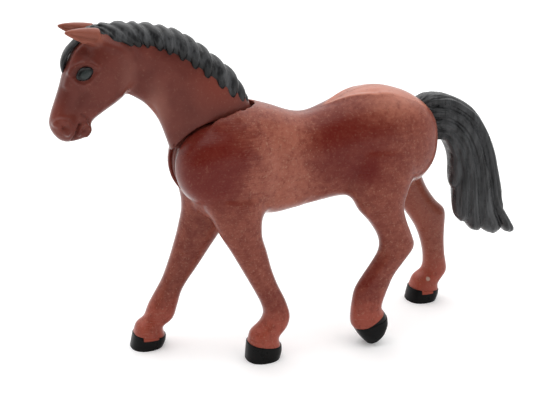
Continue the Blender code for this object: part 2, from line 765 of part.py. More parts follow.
def trunk_hollow():
    """The space inside the trunk, with columns left for the locating dowels."""
    first = SLOT_RADIUS + 2 * SHELL_WALL
    last = BACK_LENGTH - TAIL_PLUG_LENGTH - TAIL_HEAD_THICKNESS - 2 * SHELL_WALL
    rows = [row for row in trunk_rows(SHELL_WALL) if first < row[0] < last]
    mesh = bmesh.new()
    tube(mesh, rows, sides=20, steps=2)
    hollow = new_object("trunk_hollow", mesh)
    for place in body_dowels():
        combine(hollow, across(place, SHOULDER_WIDTH, BOSS_DIAMETER), "DIFFERENCE")
    return hollow


def body_dowels():
    return [
        Vector((along * BACK_LENGTH, 0, WITHERS_HEIGHT - below * TRUNK_DEPTH))
        for along, below in BODY_DOWEL_SHARES
    ]


def neck_dowels():
    return [
        Vector((x * NECK_LENGTH, 0, PIVOT_HEIGHT + z * NECK_LENGTH))
        for x, z in NECK_DOWEL_SHARES
    ]


def tail_plug(gap):
    """The tail's stem and the wider head that holds it between the shells."""
    root = tail_anchor()
    inside = root.x - TAIL_PLUG_LENGTH
    stem = rod(
        (inside - gap, 0, root.z), (root.x + TAIL_PLUG_LENGTH / 2, 0, root.z),
        TAIL_PLUG_DIAMETER + 2 * gap,
    )
    head = rod(
        (inside - TAIL_HEAD_THICKNESS - gap, 0, root.z), (inside + gap, 0, root.z),
        TAIL_HEAD_DIAMETER + 2 * gap,
    )
    combine(stem, head, "UNION")
    return stem


def mane_pegs(gap):
    """Round pegs under the mane that enter the neck's crest."""
    pegs = []
    for index in MANE_PEG_ROWS:
        row = mane_rows()[index]
        middle, upwards = Vector(row[:3]), Vector(row[3:6])
        inward = -upwards.normalized()
        start = middle + upwards + inward * MANE_PEG_COVER
        end = start + inward * (MANE_PEG_LENGTH + gap)
        pegs.append(rod(start, end, MANE_PEG_DIAMETER + 2 * gap, sides=PEG_SIDES))
    return pegs


def half(whole, name, side):
    """Keep one side of an object, up to half a gap from the seam."""
    piece = twin(whole, name)
    mesh = bmesh.new()
    mesh.from_mesh(piece.data)
    cut = bmesh.ops.bisect_plane(
        mesh, geom=[*mesh.verts, *mesh.edges, *mesh.faces], dist=WELD_DISTANCE,
        plane_co=(0, side * SEAM_GAP / 2, 0), plane_no=(0, -side, 0), clear_outer=True,
    )
    rim = [item for item in cut["geom_cut"] if isinstance(item, bmesh.types.BMEdge)]
    bmesh.ops.triangle_fill(
        mesh, use_beauty=True, use_dissolve=True, edges=rim, normal=(0, -side, 0)
    )
    mesh.to_mesh(piece.data)
    mesh.free()
    return piece


def fit_dowels(piece, places, side):
    """Give the left half its dowels and the right half the holes for them."""
    for place in places:
        if side < 0:
            start = (place.x, -DOWEL_LENGTH, place.z)
            end = (place.x, DOWEL_LENGTH, place.z)
            combine(piece, rod(start, end, DOWEL_DIAMETER, sides=PEG_SIDES), "UNION")
        else:
            hole = across(place, DOWEL_LENGTH + FIT_GAP, DOWEL_DIAMETER + 2 * FIT_GAP)
            combine(piece, hole, "DIFFERENCE")


def make_body():
    """Make the two shells, cut for the neck, the pin, the tail and the hooves."""
    body = body_skin()
    for leg in LEGS.values():
        combine(body, below_coronet(leg), "DIFFERENCE")
    outline = swollen(body, FIT_GAP)
    for space in slot_spaces():
        combine(body, space, "DIFFERENCE")
    bore = across(pivot_point(), PIN_REACH, PIN_DIAMETER + 2 * PIN_CLEARANCE)
    combine(body, bore, "DIFFERENCE")
    combine(body, tail_plug(FIT_GAP), "DIFFERENCE")
    combine(body, trunk_hollow(), "DIFFERENCE")
    shells = []
    for name, side in (("body_shell_left", -1), ("body_shell_right", 1)):
        shell = half(body, name, side)
        fit_dowels(shell, body_dowels(), side)
        for leg in LEGS.values():
            if leg.side == side:
                combine(shell, hoof_stub(leg, 0), "UNION")
        shells.append(shell)
    bpy.data.objects.remove(body)
    return outline, shells


def make_hoof(name, leg):
    """Make a hoof with a blind socket for its leg's stub."""
    mesh = bmesh.new()
    tube(mesh, hoof_rows(leg), sides=24, steps=2)
    hoof = new_object("hoof_" + name, mesh)
    combine(hoof, hoof_stub(leg, FIT_GAP), "DIFFERENCE")
    return hoof


def make_neck():
    """Make the two halves of head and neck with the round root that turns on the pin."""
    neck = neck_skin()
    outline = swollen(neck, FIT_GAP)
    combine(neck, shoulder_shape(NECK_GAP), "DIFFERENCE")
    inset = ROOT_INSET_SHARE * (THROAT_ANGLE - CROWN_ANGLE)
    root = ring_part(
        ROOT_RADIUS / 2, SHOULDER_RADIUS + 2 * NECK_GAP, ROOT_WIDTH / 2 - SEAM_GAP,
        CROWN_ANGLE + inset, THROAT_ANGLE - inset,
    )
    combine(neck, root, "UNION")
    combine(neck, across(pivot_point(), ROOT_WIDTH / 2, 2 * ROOT_RADIUS), "UNION")
    bore = across(pivot_point(), ROOT_WIDTH, PIN_DIAMETER + 2 * PIN_CLEARANCE)
    combine(neck, bore, "DIFFERENCE")
    for peg in mane_pegs(FIT_GAP):
        combine(neck, peg, "DIFFERENCE")
    halves = []
    for name, side in (("neck_half_left", -1), ("neck_half_right", 1)):
        piece = half(neck, name, side)
        fit_dowels(piece, neck_dowels(), side)
        halves.append(piece)
    bpy.data.objects.remove(neck)
    return outline, halves


def mane_skin():
    """Crest and forelock with a row of overlapping locks down each side."""
    mesh = bmesh.new()
    rows = mane_rows()
    tube(mesh, rows, sides=20)
    for side in (-1, 1):
        for index in range(LOCK_COUNT):
            span = LOCK_LAST_SHARE - LOCK_FIRST_SHARE
            start = LOCK_FIRST_SHARE + span * index / (LOCK_COUNT - 1)
            tube(mesh, lock_rows(rows, start, side), sides=10, steps=2)
    return moulded("mane", mesh, MANE_VOXEL, 1, MANE_FACE_SHARE)


def lock_rows(rows, start, side):
    """Sections of one lock, from the crest down the mane's side and backwards."""
    sections = []
    for down, width, thickness in LOCK_SHARES:
        place = (start + LOCK_SLANT_SHARE * down) * (len(rows) - 1)
        here = between(rows, place)
        ahead = between(rows, place + LOCK_STEP)
        angle = down * LOCK_REACH
        middle, tall, wide = Vector(here[:3]), Vector(here[3:6]), Vector(here[6:])
        up = rounded(math.cos(angle), 2)
        aside = rounded(math.sin(angle), 2)
        centre = middle + tall * up + wide * aside * side
        along = (Vector(ahead[:3]) - middle).normalized()
        outward = (tall.normalized() * up + wide.normalized() * aside * side).normalized()
        sections.append((
            *centre, *along * width * LOCK_WIDTH / 2, *outward * thickness * LOCK_THICKNESS / 2
        ))
    return sections


def make_mane(neck_outline, body_outline):
    mane = mane_skin()
    combine(mane, neck_outline, "DIFFERENCE")
    combine(mane, body_outline, "DIFFERENCE", keep=True)
    for peg in mane_pegs(0):
        combine(mane, peg, "UNION")
    return mane


def tail_skin():
    """Long strands side by side, each with its own end."""
    mesh = bmesh.new()
    rows = tail_rows()
    for middle, breadth, end, thickness in STRAND_SHARES:
        strand = []
        for along, size in STRAND_TAPER_SHARES:
            here = between(rows, along * end * (len(rows) - 1))
            centre, tall, wide = Vector(here[:3]), Vector(here[3:6]), Vector(here[6:])
            centre += tall * (2 * middle - 1)
            strand.append((*centre, *tall * breadth * size, *wide * thickness * size))
        tube(mesh, strand, sides=14)
    return moulded("tail", mesh, MANE_VOXEL, 1, MANE_FACE_SHARE)


def make_tail(body_outline):
    tail = tail_skin()
    combine(tail, body_outline, "DIFFERENCE")
    combine(tail, tail_plug(0), "UNION")
    return tail


def empty(name, place):
    item = bpy.data.objects.new(name, None)
    item.location = place
    item.empty_display_size = PIN_DIAMETER
    bpy.context.collection.objects.link(item)
    return item


def finish(item, colour, roughness, parent):
    """Give an object its own plastic and smooth shading, and hang it under its parent."""
    weld(item)
    item.data.name = item.name
    item.data.materials.clear()
    item.data.materials.append(plastic(item.name, colour, roughness))
    item.data.shade_smooth()
    item.data.set_sharp_from_angle(angle=SHARP_ANGLE)
    item.parent = parent


def middle_of_ground(items):
    """The point of the seam's plane under the middle of everything, on the lowest level."""
    corners = [item.matrix_world @ Vector(corner) for item in items for corner in item.bound_box]
    nose = min(corner.x for corner in corners)
    rear = max(corner.x for corner in corners)
    return Vector(((nose + rear) / 2, 0, min(corner.z for corner in corners)))


def main():
    clear_scene()
    body_outline, shells = make_body()
    neck_outline, halves = make_neck()
    mane = make_mane(neck_outline, body_outline)
    tail = make_tail(body_outline)
    hooves = [make_hoof(name, leg) for name, leg in LEGS.items()]
    pin = across(pivot_point(), PIN_REACH - FIT_GAP, PIN_DIAMETER)
    pin.name = "neck_pivot_pin"

    horse = empty("toy_horse", Vector((0, 0, 0)))
    neck = empty("neck_turns", pivot_point())
    neck.parent = horse
    for item in halves + [mane]:
        item.data.transform(Matrix.Translation(-pivot_point()))
    for item in shells:
        finish(item, BROWN, SATIN_ROUGHNESS, horse)
    for item in halves:
        finish(item, BROWN, MATT_ROUGHNESS, neck)
    finish(mane, BLACK, SATIN_ROUGHNESS, neck)
    for item in [tail] + hooves:
        finish(item, BLACK, SATIN_ROUGHNESS, horse)
    finish(pin, PIN_GREY, SATIN_ROUGHNESS, horse)
    bpy.context.view_layer.update()
    pieces = [item for item in bpy.data.objects if item.type == "MESH"]
    horse.location = -middle_of_ground(pieces)


main()
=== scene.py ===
"""The finished look of a walking toy horse whose head and neck nod between its shoulders.

The horse faces -X and its left side is -Y. While the pieces are made, and in the places that
the materials name, X = 0 is the neck's pivot axis, Y = 0 the middle of the body and Z = 0 the
ground.
"""

from collections import namedtuple
import json
import math

import bmesh
import bpy
import numpy as np
from mathutils import Matrix, Vector


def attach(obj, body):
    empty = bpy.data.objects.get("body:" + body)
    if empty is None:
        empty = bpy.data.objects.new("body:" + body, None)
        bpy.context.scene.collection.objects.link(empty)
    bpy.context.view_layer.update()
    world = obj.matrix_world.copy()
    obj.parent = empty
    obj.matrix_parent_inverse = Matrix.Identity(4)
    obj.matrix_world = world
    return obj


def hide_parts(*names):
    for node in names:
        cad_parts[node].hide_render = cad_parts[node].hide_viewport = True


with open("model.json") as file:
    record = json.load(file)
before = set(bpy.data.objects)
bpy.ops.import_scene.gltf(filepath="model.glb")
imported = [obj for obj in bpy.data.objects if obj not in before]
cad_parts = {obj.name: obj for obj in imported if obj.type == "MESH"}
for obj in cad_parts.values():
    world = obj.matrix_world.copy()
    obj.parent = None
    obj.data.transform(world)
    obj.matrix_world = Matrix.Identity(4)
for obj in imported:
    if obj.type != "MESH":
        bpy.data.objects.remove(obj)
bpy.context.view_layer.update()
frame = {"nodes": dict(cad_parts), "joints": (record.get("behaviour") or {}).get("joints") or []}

bl_info = {
    "name": "Toy Horse",
    "version": (1, 0, 0),
    "blender": (4, 5, 0),
    "location": "View3D > Sidebar > Toy Horse",
    "description": "Dress the nodding toy horse and light it for a picture",
    "category": "Object",
}

PIVOT = Vector(frame["joints"][0]["pos_m"])
PIVOT_POINT = Vector((0, 0, PIVOT.z))
TO_FRAME = Vector((PIVOT.x, 0, 0))
SIDES = ((-1, "left"), (1, "right"))

# Sizes of the horse
WITHERS_HEIGHT = 0.085
TRUNK_DEPTH = 0.035
BACK_LENGTH = 0.080
SHOULDER_WIDTH = 0.030
WAIST_WIDTH = 0.0216
RUMP_WIDTH = 0.0285
LEG_LENGTH = WITHERS_HEIGHT - TRUNK_DEPTH
FORE_TRACK = 0.022
HIND_TRACK = 0.026
LEG_WIDTH = 0.0086
HOOF_WIDTH = 0.0114
ROOT_RADIUS = 0.0146
ROOT_WIDTH = 0.0070
DISC_RADIUS = 0.0134
SHOULDER_RADIUS = 0.0145
NECK_GAP = 0.0009
SLOT_CLEARANCE = 0.0005
SLOT_HALF_WIDTH = ROOT_WIDTH / 2 + SLOT_CLEARANCE
PIN_DIAMETER = 0.0040
NOD_ANGLE = math.radians(60)
THROAT_ANGLE = math.radians(159)
CROWN_ANGLE = math.radians(101)
HEEL_ANGLE = math.radians(33)
STOP_ANGLE = math.radians(8)
LIP_ANGLE = THROAT_ANGLE + NOD_ANGLE + STOP_ANGLE
NECK_LENGTH = 0.050
NECK_WIDTH = 0.0132
HEAD_LENGTH = 0.040
HEAD_WIDTH = 0.0148
MUZZLE_WIDTH = 0.0106
EAR_LENGTH = 0.0126
EAR_WIDTH = 0.0036
MANE_WIDTH = 0.0154
LOCK_WIDTH = 0.0040
LOCK_THICKNESS = 0.0024
TAIL_LENGTH = 0.058
TAIL_WIDTH = 0.0112
SEAM_GAP = 0.00004
OVERRUN = 0.0100
FACE_STEP = 0.0002
# The space cut out for the neck at rest, in neck gaps
REST_SPACE = 1.6

# Finenesses at which pieces are blended, and how often their soft places are smoothed
BODY_BLEND = 0.0007
NECK_BLEND = 0.00045
HOOF_FINENESS = 0.0002
SOFT_STEPS = 70
THROAT_STEPS = 40

TRUNK_SHARES = (
    (-0.075, 0.14, 1.00, SHOULDER_WIDTH, 0.87),
    (0.025, -0.015, 1.085, SHOULDER_WIDTH, 1.00),
    (0.125, -0.04, 1.04, SHOULDER_WIDTH, 0.95),
    (0.225, 0.015, 1.065, SHOULDER_WIDTH, 0.82),
    (0.325, 0.10, 1.040, WAIST_WIDTH, 1.01),
    (0.400, 0.115, 1.010, WAIST_WIDTH, 1.00),
    (0.4875, 0.055, 0.98, WAIST_WIDTH, 1.09),
    (0.5875, -0.035, 0.965, RUMP_WIDTH, 0.93),
    (0.700, -0.077, 0.945, RUMP_WIDTH, 1.00),
    (0.800, -0.03, 0.955, RUMP_WIDTH, 0.98),
    (0.875, 0.05, 0.915, RUMP_WIDTH, 0.88),
    (0.9375, 0.17, 0.785, RUMP_WIDTH, 0.67),
    (0.970, 0.30, 0.63, RUMP_WIDTH, 0.36),
)
SHOULDER_POWER = 3.0
ROOT_INSET_SHARE = 0.10

FORE_LEFT_SHARES = (
    (-0.16, 1.16, 0.28, 1.12, 0.77, 1.40),
    (-0.09, 1.00, 0.262, 0.99, 0.86, 1.30),
    (-0.030, 0.88, 0.250, 0.88, 0.91, 1.16),
    (0.034, 0.77, 0.278, 0.77, 0.94, 1.05),
    (0.114, 0.62, 0.312, 0.63, 0.96, 0.95),
    (0.178, 0.498, 0.352, 0.516, 0.98, 0.91),
    (0.222, 0.406, 0.402, 0.406, 1.00, 0.91),
    (0.246, 0.320, 0.434, 0.290, 1.00, 0.98),
    (0.218, 0.254, 0.412, 0.210, 1.00, 1.02),
    (0.152, 0.196, 0.356, 0.144, 1.00, 1.09),
    (0.138, 0.140, 0.364, 0.092, 1.00, 1.21),
    (0.128, 0.120, 0.370, 0.072, 1.00, 1.25),
)
FORE_RIGHT_SHARES = (
    (-0.22, 1.16, 0.24, 1.12, 0.77, 1.40),
    (-0.192, 0.99, 0.16, 0.90, 0.86, 1.30),
    (-0.212, 0.86, 0.084, 0.78, 0.91, 1.16),
    (-0.242, 0.74, 0.000, 0.66, 0.94, 1.05),
    (-0.286, 0.60, -0.084, 0.54, 0.96, 0.95),
    (-0.335, 0.47, -0.152, 0.45, 0.98, 0.91),
    (-0.390, 0.372, -0.194, 0.376, 1.00, 0.91),
    (-0.440, 0.286, -0.226, 0.276, 1.00, 0.98),
    (-0.472, 0.208, -0.260, 0.186, 1.00, 1.02),
    (-0.524, 0.168, -0.332, 0.140, 1.00, 1.09),
    (-0.544, 0.120, -0.326, 0.084, 1.00, 1.21),
    (-0.550, 0.096, -0.318, 0.060, 1.00, 1.25),
)
HIND_LEFT_SHARES = (
    (-0.29, 1.36, 0.30, 1.36, 0.62, 1.51),
    (-0.28, 1.14, 0.22, 1.16, 0.73, 1.44),
    (-0.22, 0.986, 0.136, 0.99, 0.85, 1.28),
    (-0.124, 0.87, 0.145, 0.88, 0.91, 1.12),
    (-0.062, 0.76, 0.192, 0.756, 0.95, 1.00),
    (-0.060, 0.668, 0.208, 0.68, 0.98, 0.95),
    (-0.114, 0.578, 0.140, 0.592, 1.00, 0.91),
    (-0.182, 0.484, 0.064, 0.496, 1.00, 0.88),
    (-0.234, 0.400, 0.022, 0.400, 1.00, 0.88),
    (-0.250, 0.300, -0.016, 0.304, 1.00, 0.93),
    (-0.256, 0.210, -0.024, 0.252, 1.00, 1.02),
    (-0.252, 0.148, 0.010, 0.204, 1.00, 1.12),
    (-0.240, 0.130, 0.016, 0.190, 1.00, 1.16),
)
HIND_RIGHT_SHARES = (
    (-0.12, 1.36, 0.38, 1.36, 0.62, 1.51),
    (0.00, 1.20, 0.435, 1.16, 0.73, 1.44),
    (0.14, 1.04, 0.495, 1.02, 0.85, 1.28),
    (0.28, 0.88, 0.560, 0.90, 0.91, 1.12),
    (0.38, 0.74, 0.646, 0.79, 0.95, 1.00),
    (0.446, 0.65, 0.726, 0.71, 0.98, 0.98),
    (0.498, 0.57, 0.734, 0.58, 1.00, 0.91),
    (0.540, 0.47, 0.734, 0.47, 1.00, 0.88),
    (0.570, 0.35, 0.746, 0.35, 1.00, 0.88),
    (0.566, 0.24, 0.770, 0.23, 1.00, 0.95),
    (0.496, 0.186, 0.742, 0.176, 1.00, 1.05),
    (0.476, 0.136, 0.700, 0.126, 1.00, 1.12),
    (0.466, 0.104, 0.704, 0.074, 1.00, 1.21),
)
HOOF_FORE_LEFT_SHARES = (
    (0.126, 0.130, 0.374, 0.084, 1.00, 0.94),
    (0.120, 0.060, 0.374, 0.045, 1.00, 0.99),
    (0.116, 0.000, 0.360, 0.000, 1.00, 1.00),
)
HOOF_FORE_RIGHT_SHARES = (
    (-0.552, 0.106, -0.314, 0.070, 1.00, 0.94),
    (-0.564, 0.050, -0.320, 0.035, 1.00, 0.99),
    (-0.574, 0.000, -0.340, 0.000, 1.00, 1.00),
)
HOOF_HIND_LEFT_SHARES = (
    (-0.236, 0.130, 0.016, 0.190, 1.00, 0.92),
    (-0.190, 0.058, 0.018, 0.148, 1.00, 0.99),
    (-0.136, -0.002, 0.000, 0.112, 1.00, 0.90),
)
HOOF_HIND_RIGHT_SHARES = (
    (0.462, 0.108, 0.706, 0.078, 1.00, 0.94),
    (0.450, 0.050, 0.700, 0.040, 1.00, 0.99),
    (0.442, 0.000, 0.682, 0.000, 1.00, 1.00),
)
# Where the brown runs down the heels of the far hooves: start, end and lowest point
TONGUES = {
    "front_right": (-0.0245, -0.0195, 0.0034),
    "hind_right": (0.0825, 0.0866, 0.0034),
}
HIP_SHARE = 0.70
LEG_OUTLINE_SHARE = 0.955

NECK_SHARES = (
    (-0.940, -0.07, 0.890, 0.448, ROOT_RADIUS, 1.00),
    (-0.980, 0.27, 0.904, 0.788, ROOT_RADIUS, 1.02),
    (-1.085, 0.645, 0.822, 1.205, ROOT_RADIUS, 1.04),
    (-0.362, 0.31, 0.152, 0.512, NECK_LENGTH, 1.04),
    (-0.432, 0.408, 0.010, 0.656, NECK_LENGTH, 1.02),
    (-0.500, 0.460, -0.13, 0.765, NECK_LENGTH, 0.98),
    (-0.550, 0.490, -0.285, 0.85, NECK_LENGTH, 0.97),
    (-0.590, 0.54, -0.44, 0.895, NECK_LENGTH, 0.98),
    (-0.620, 0.65, -0.60, 0.905, NECK_LENGTH, 0.95),
    (-0.680, 0.73, -0.68, 0.88, NECK_LENGTH, 0.80),
)
ROOT_ROWS = 5
POLL_SHARES = (-0.66, 0.88)
HEAD_SHARES = (
    (-0.10, -0.02, 0.10, 0.010, HEAD_WIDTH, 0.62),
    (-0.230, -0.105, 0.20, -0.110, HEAD_WIDTH, 0.88),
    (-0.285, -0.190, 0.212, -0.270, HEAD_WIDTH, 0.98),
    (-0.332, -0.290, 0.176, -0.410, HEAD_WIDTH, 0.97),
    (-0.368, -0.400, 0.096, -0.512, HEAD_WIDTH, 0.86),
    (-0.408, -0.505, -0.036, -0.600, HEAD_WIDTH, 0.74),
    (-0.444, -0.600, -0.124, -0.660, MUZZLE_WIDTH, 0.95),
    (-0.460, -0.672, -0.150, -0.702, MUZZLE_WIDTH, 1.00),
    (-0.446, -0.734, -0.155, -0.745, MUZZLE_WIDTH, 0.94),
    (-0.402, -0.794, -0.190, -0.788, MUZZLE_WIDTH, 0.70),
    (-0.350, -0.822, -0.250, -0.806, MUZZLE_WIDTH, 0.32),
)
EAR_ROOT_SHARES = (-0.06, -0.04, 0.30)
EAR_TIP_SHARES = (-0.84, 0.18, 0.20)
EAR_SHARES = (
    (0.00, 0.48, 1.30),
    (0.30, 0.42, 1.25),
    (0.60, 0.31, 1.05),
    (0.85, 0.17, 0.70),
    (1.00, 0.07, 0.35),
)
EYE_SHARES = (-0.193, -0.283)
EYE_OUT_SHARE = 0.42
EYE_TILT = math.radians(-29)
EYE_RADII = (0.0029, 0.0017, 0.0020)
EYE_CORNER_SHARE = 0.20
IRIS_RADII = (0.0027, 0.0019)
LIP_SHARES = (-0.205, -0.735)
LIP_LENGTH = 0.0050
LIP_SIZE_SHARES = (1.36, 0.90)
NOSTRIL_SHARES = (-0.366, -0.682)
NOSTRIL_OUT_SHARE = 0.34
NOSTRIL_LENGTH = 0.0046
NOSTRIL_SIZE_SHARES = (0.92, 1.00)

MANE_SHARES = (
    (-0.906, 0.648, -0.938, 0.636, 0.10),
    (-0.884, 0.712, -0.946, 0.696, 0.30),
    (-0.850, 0.775, -0.918, 0.770, 0.38),
    (-0.800, 0.805, -0.862, 0.834, 0.32),
    (-0.755, 0.835, -0.796, 0.884, 0.24),
    (-0.710, 0.820, -0.730, 0.900, 0.40),
    (-0.640, 0.740, -0.640, 0.920, 0.66),
    (-0.508, 0.720, -0.484, 0.916, 0.82),
    (-0.368, 0.692, -0.294, 0.880, 0.84),
    (-0.243, 0.620, -0.152, 0.814, 0.84),
    (-0.115, 0.520, -0.002, 0.696, 0.82),
    (-0.010, 0.420, 0.120, 0.584, 0.76),
    (0.060, 0.376, 0.190, 0.462, 0.58),
    (0.120, 0.345, 0.214, 0.392, 0.30),
)
# The circle that the mane's crest follows, which places the mane's painted highlight band and
# painted shade: its middle and its radius
CREST = (-0.0294, 0.0695, 0.0436)
# The mane's base lies inside its outline: inset, and rise of its lower edge as a share
MANE_BASE = (0.0004, 0.14)
# The mane's locks: where each leaves the crest and how far it slants, as shares of the mane's
# rows, how far down the side it reaches, and its width and thickness as shares of a lock's
LOCKS = (
    (0.330, 0.140, 0.86, 0.85, 1.0),
    (0.385, 0.105, 0.88, 0.80, 0.9),
    (0.435, 0.085, 0.92, 0.85, 1.0),
    (0.488, 0.055, 0.93, 0.95, 1.2),
    (0.532, 0.036, 0.91, 0.60, 1.1),
    (0.566, 0.038, 0.94, 0.90, 1.2),
    (0.602, 0.036, 1.00, 0.75, 1.1),
    (0.645, 0.036, 0.93, 0.95, 1.2),
    (0.690, 0.036, 0.98, 0.90, 1.1),
    (0.732, 0.038, 1.00, 0.90, 1.2),
    (0.780, 0.045, 0.95, 1.05, 1.1),
    (0.832, 0.052, 0.96, 1.10, 1.2),
    (0.884, 0.060, 0.85, 1.10, 1.1),
    (0.935, 0.050, 0.75, 0.90, 1.0),
)
# Stations along a lock: share of its way down, width and thickness
LOCK_STATIONS = (
    (-0.10, 0.70, 0.30),
    (0.15, 1.00, 0.62),
    (0.50, 1.00, 1.00),
    (0.85, 0.86, 0.80),
    (1.10, 0.34, 0.30),
)
LOCK_REACH = math.radians(112)
LOCK_INSET = 0.0005
TAIL_ANCHOR_SHARES = (0.97, 0.30)
TAIL_SHARES = (
    (-0.097, -0.078, -0.140, 0.110, 0.60),
    (0.024, -0.138, -0.062, 0.152, 0.78),
    (0.067, -0.138, 0.050, 0.154, 0.86),
    (0.107, -0.181, 0.206, 0.088, 0.92),
    (0.138, -0.259, 0.314, -0.009, 0.96),
    (0.150, -0.353, 0.412, -0.175, 1.00),
    (0.146, -0.457, 0.480, -0.380, 1.00),
    (0.150, -0.560, 0.514, -0.520, 0.98),
    (0.156, -0.660, 0.560, -0.640, 0.94),
    (0.170, -0.760, 0.640, -0.730, 0.86),
    (0.200, -0.850, 0.690, -0.790, 0.74),
)
# The tail's strands: middle and breadth in the tail's depth, length and thickness, as shares
STRAND_SHARES = (
    (0.10, 0.20, 0.61, 0.75),
    (0.23, 0.24, 0.83, 0.90),
    (0.39, 0.27, 0.91, 1.00),
    (0.61, 0.34, 0.96, 1.00),
    (0.83, 0.22, 1.00, 0.90),
    (0.86, 0.22, 0.84, 0.90),
    (0.92, 0.15, 0.62, 0.65),
)
STRAND_TAPER_SHARES = (
    *((0.15 * step, 1.00) for step in range(6)),
    (0.87, 0.96),
    (0.95, 0.78),
    (1.00, 0.30),
)
# Fine lines in the tail: how many, how deep and the seed of their waves
TAIL_LINES = (20, 0.00042, 3)

# Lines drawn into the head and neck, from the poll in lengths of the head: half width and
# height of each line in millimetres, raised where the height is positive, and its points
HEAD_LINES = (
    (0.60, 0.30, (
        (-0.285, -0.290), (-0.262, -0.248), (-0.212, -0.213), (-0.153, -0.207), (-0.098, -0.240),
    )),
    (0.50, 0.16, (
        (-0.275, -0.318), (-0.250, -0.350), (-0.203, -0.366), (-0.150, -0.338), (-0.110, -0.290),
    )),
    (0.90, 0.32, (
        (-0.205, -0.070), (-0.235, -0.134), (-0.262, -0.200), (-0.285, -0.270), (-0.320, -0.380),
    )),
    (1.70, -0.50, ((-0.175, -0.120), (-0.160, -0.135))),
    (1.60, 0.30, (
        (-0.020, -0.075), (0.065, -0.115), (0.115, -0.200), (0.128, -0.290), (0.112, -0.389),
        (0.070, -0.460),
    )),
    (1.30, -0.26, (
        (0.050, -0.050), (0.130, -0.095), (0.190, -0.190), (0.205, -0.290), (0.188, -0.400),
        (0.140, -0.480),
    )),
    (1.60, -0.35, ((-0.220, -0.430), (-0.270, -0.520), (-0.300, -0.580))),
    (0.80, 0.42, (
        (-0.423, -0.660), (-0.400, -0.632), (-0.362, -0.630), (-0.330, -0.655), (-0.322, -0.695),
        (-0.345, -0.730),
    )),
    (1.10, -0.60, ((-0.378, -0.690), (-0.368, -0.676))),
    (0.40, -0.55, (
        (-0.310, -0.800), (-0.290, -0.762), (-0.276, -0.724), (-0.262, -0.690), (-0.250, -0.668),
    )),
    (0.55, 0.26, (
        (-0.262, -0.745), (-0.250, -0.690), (-0.215, -0.668), (-0.180, -0.690), (-0.170, -0.735),
        (-0.200, -0.775),
    )),
    (0.60, -0.30, ((-0.220, -0.722), (-0.212, -0.720))),
    (0.40, -0.28, ((-0.235, -0.590), (-0.200, -0.618), (-0.182, -0.650), (-0.176, -0.685))),
    (0.80, -0.42, ((-0.275, 0.006), (-0.220, -0.008), (-0.165, -0.020), (-0.110, -0.034))),
    (1.60, -0.30, ((0.250, -0.300), (0.290, -0.480), (0.320, -0.640), (0.330, -0.800))),
)
# The ridge on each side of the back: where it leaves the middle, its spread and its reach
RIDGE_START = 0.0369
RIDGE_SLOPE = 0.415
RIDGE_REACH = 0.0068
# Lines drawn into the body and legs, in millimetres from the pivot and above the ground
BODY_LINES = (
    (2.6, -0.25, ((14.0, 78.0), (17.0, 72.0), (18.0, 65.0), (17.0, 58.0))),
    (2.0, -0.30, ((24.0, 60.0), (27.0, 56.0), (30.0, 52.5))),
    (2.6, 0.30, ((-25.0, 77.0), (-19.0, 80.0), (-12.0, 83.0))),
)
# Places where the muscles run softly into each other: from the pivot, above the ground and
# reach in millimetres
SOFT_PLACES = (
    (13.5, 50.5, 4.2), (42.0, 52.5, 4.2), (-2.0, 79.5, 5.5), (-5.5, 52.5, 4.5), (67.0, 56.5, 4.5),
)
# Round fillings under the skin: middle from the pivot, half width and radius in millimetres
FILLINGS = (
    (12.3, -9.0, 51.6, 3.0, 2.0), (44.9, -9.0, 55.3, 3.5, 3.1),
    (0.5, -5.8, 78.4, 5.4, 6.4), (0.5, 5.8, 78.4, 5.4, 6.4),
    (5.5, -5.6, 79.4, 5.4, 6.1), (5.5, 5.6, 79.4, 5.4, 6.1),
)
# The corner between jaw and throat, softened like the body's places
THROAT_CORNER = (-28.6, 92.2, 2.6)

# Soft patches of colour in the side view: share, middle, radii and core
# Painted shade, partly the toy's sprayed shading: darker shoulder and haunch where they face the
# camera
MUSCLE_SHADE_PATCHES = (
    (0.95, (-0.0050, 0.0690), (0.0175, 0.0200), 0.35),
    (0.82, (0.0430, 0.0700), (0.0220, 0.0175), 0.38),
    (0.15, (0.0370, 0.0765), (0.0120, 0.0090), 0),
    (0.45, (0.0475, 0.0615), (0.0085, 0.0070), 0),
)
# Painted shade, partly sprayed shading: darker middles of the near cannons
LEG_SHADE_PATCHES = (
    (0.60, (0.0470, 0.0240), (0.0100, 0.0170), 0.2),
    (0.40, (0.0160, 0.0200), (0.0080, 0.0120), 0),
)
GATE_PATCHES = ((0.90, (0.0849, 0.0093), (0.0009, 0.0009), 0.6),)
NAPE_PATCHES = (
    (0.70, (0.0000, 0.0930), (0.0130, 0.0130), 0),
    (0.49, (-0.0495, 0.0865), (0.0070, 0.0070), 0),
)
# Painted sheen: paler throat edges where they turn towards the bright tent
THROAT_SHEEN_PATCHES = (
    (0.85, (-0.0195, 0.0850), (0.0055, 0.0140), 0),
    (0.3825, (-0.0280, 0.0970), (0.0040, 0.0120), 0),
)
# Soft steps between colours: where each starts, and how far on it is full
# The waist's paler band is partly painted light, where the flank behind the shoulder turns to the
# side light
WAIST_HEIGHT = (0.0460, 0.0080)
WAIST_TOP = (0.0770, 0.0040)
# Painted light on the top of the back and rump, where the light falls from above
BACK_LIGHT_HEIGHT = (0.0790, 0.0030)
BACK_LIGHT_START = (0.0340, 0.0060)
RUMP_LIGHT_HEIGHT = (0.0755, 0.0090)
RUMP_LIGHT_START = (0.0440, 0.0140)
FAR_LEG_START = (0.0660, 0.0040)
FAR_LEG_TOP = (0.0500, 0.0060)
PASTERN_TOP = (0.0100, 0.0120)
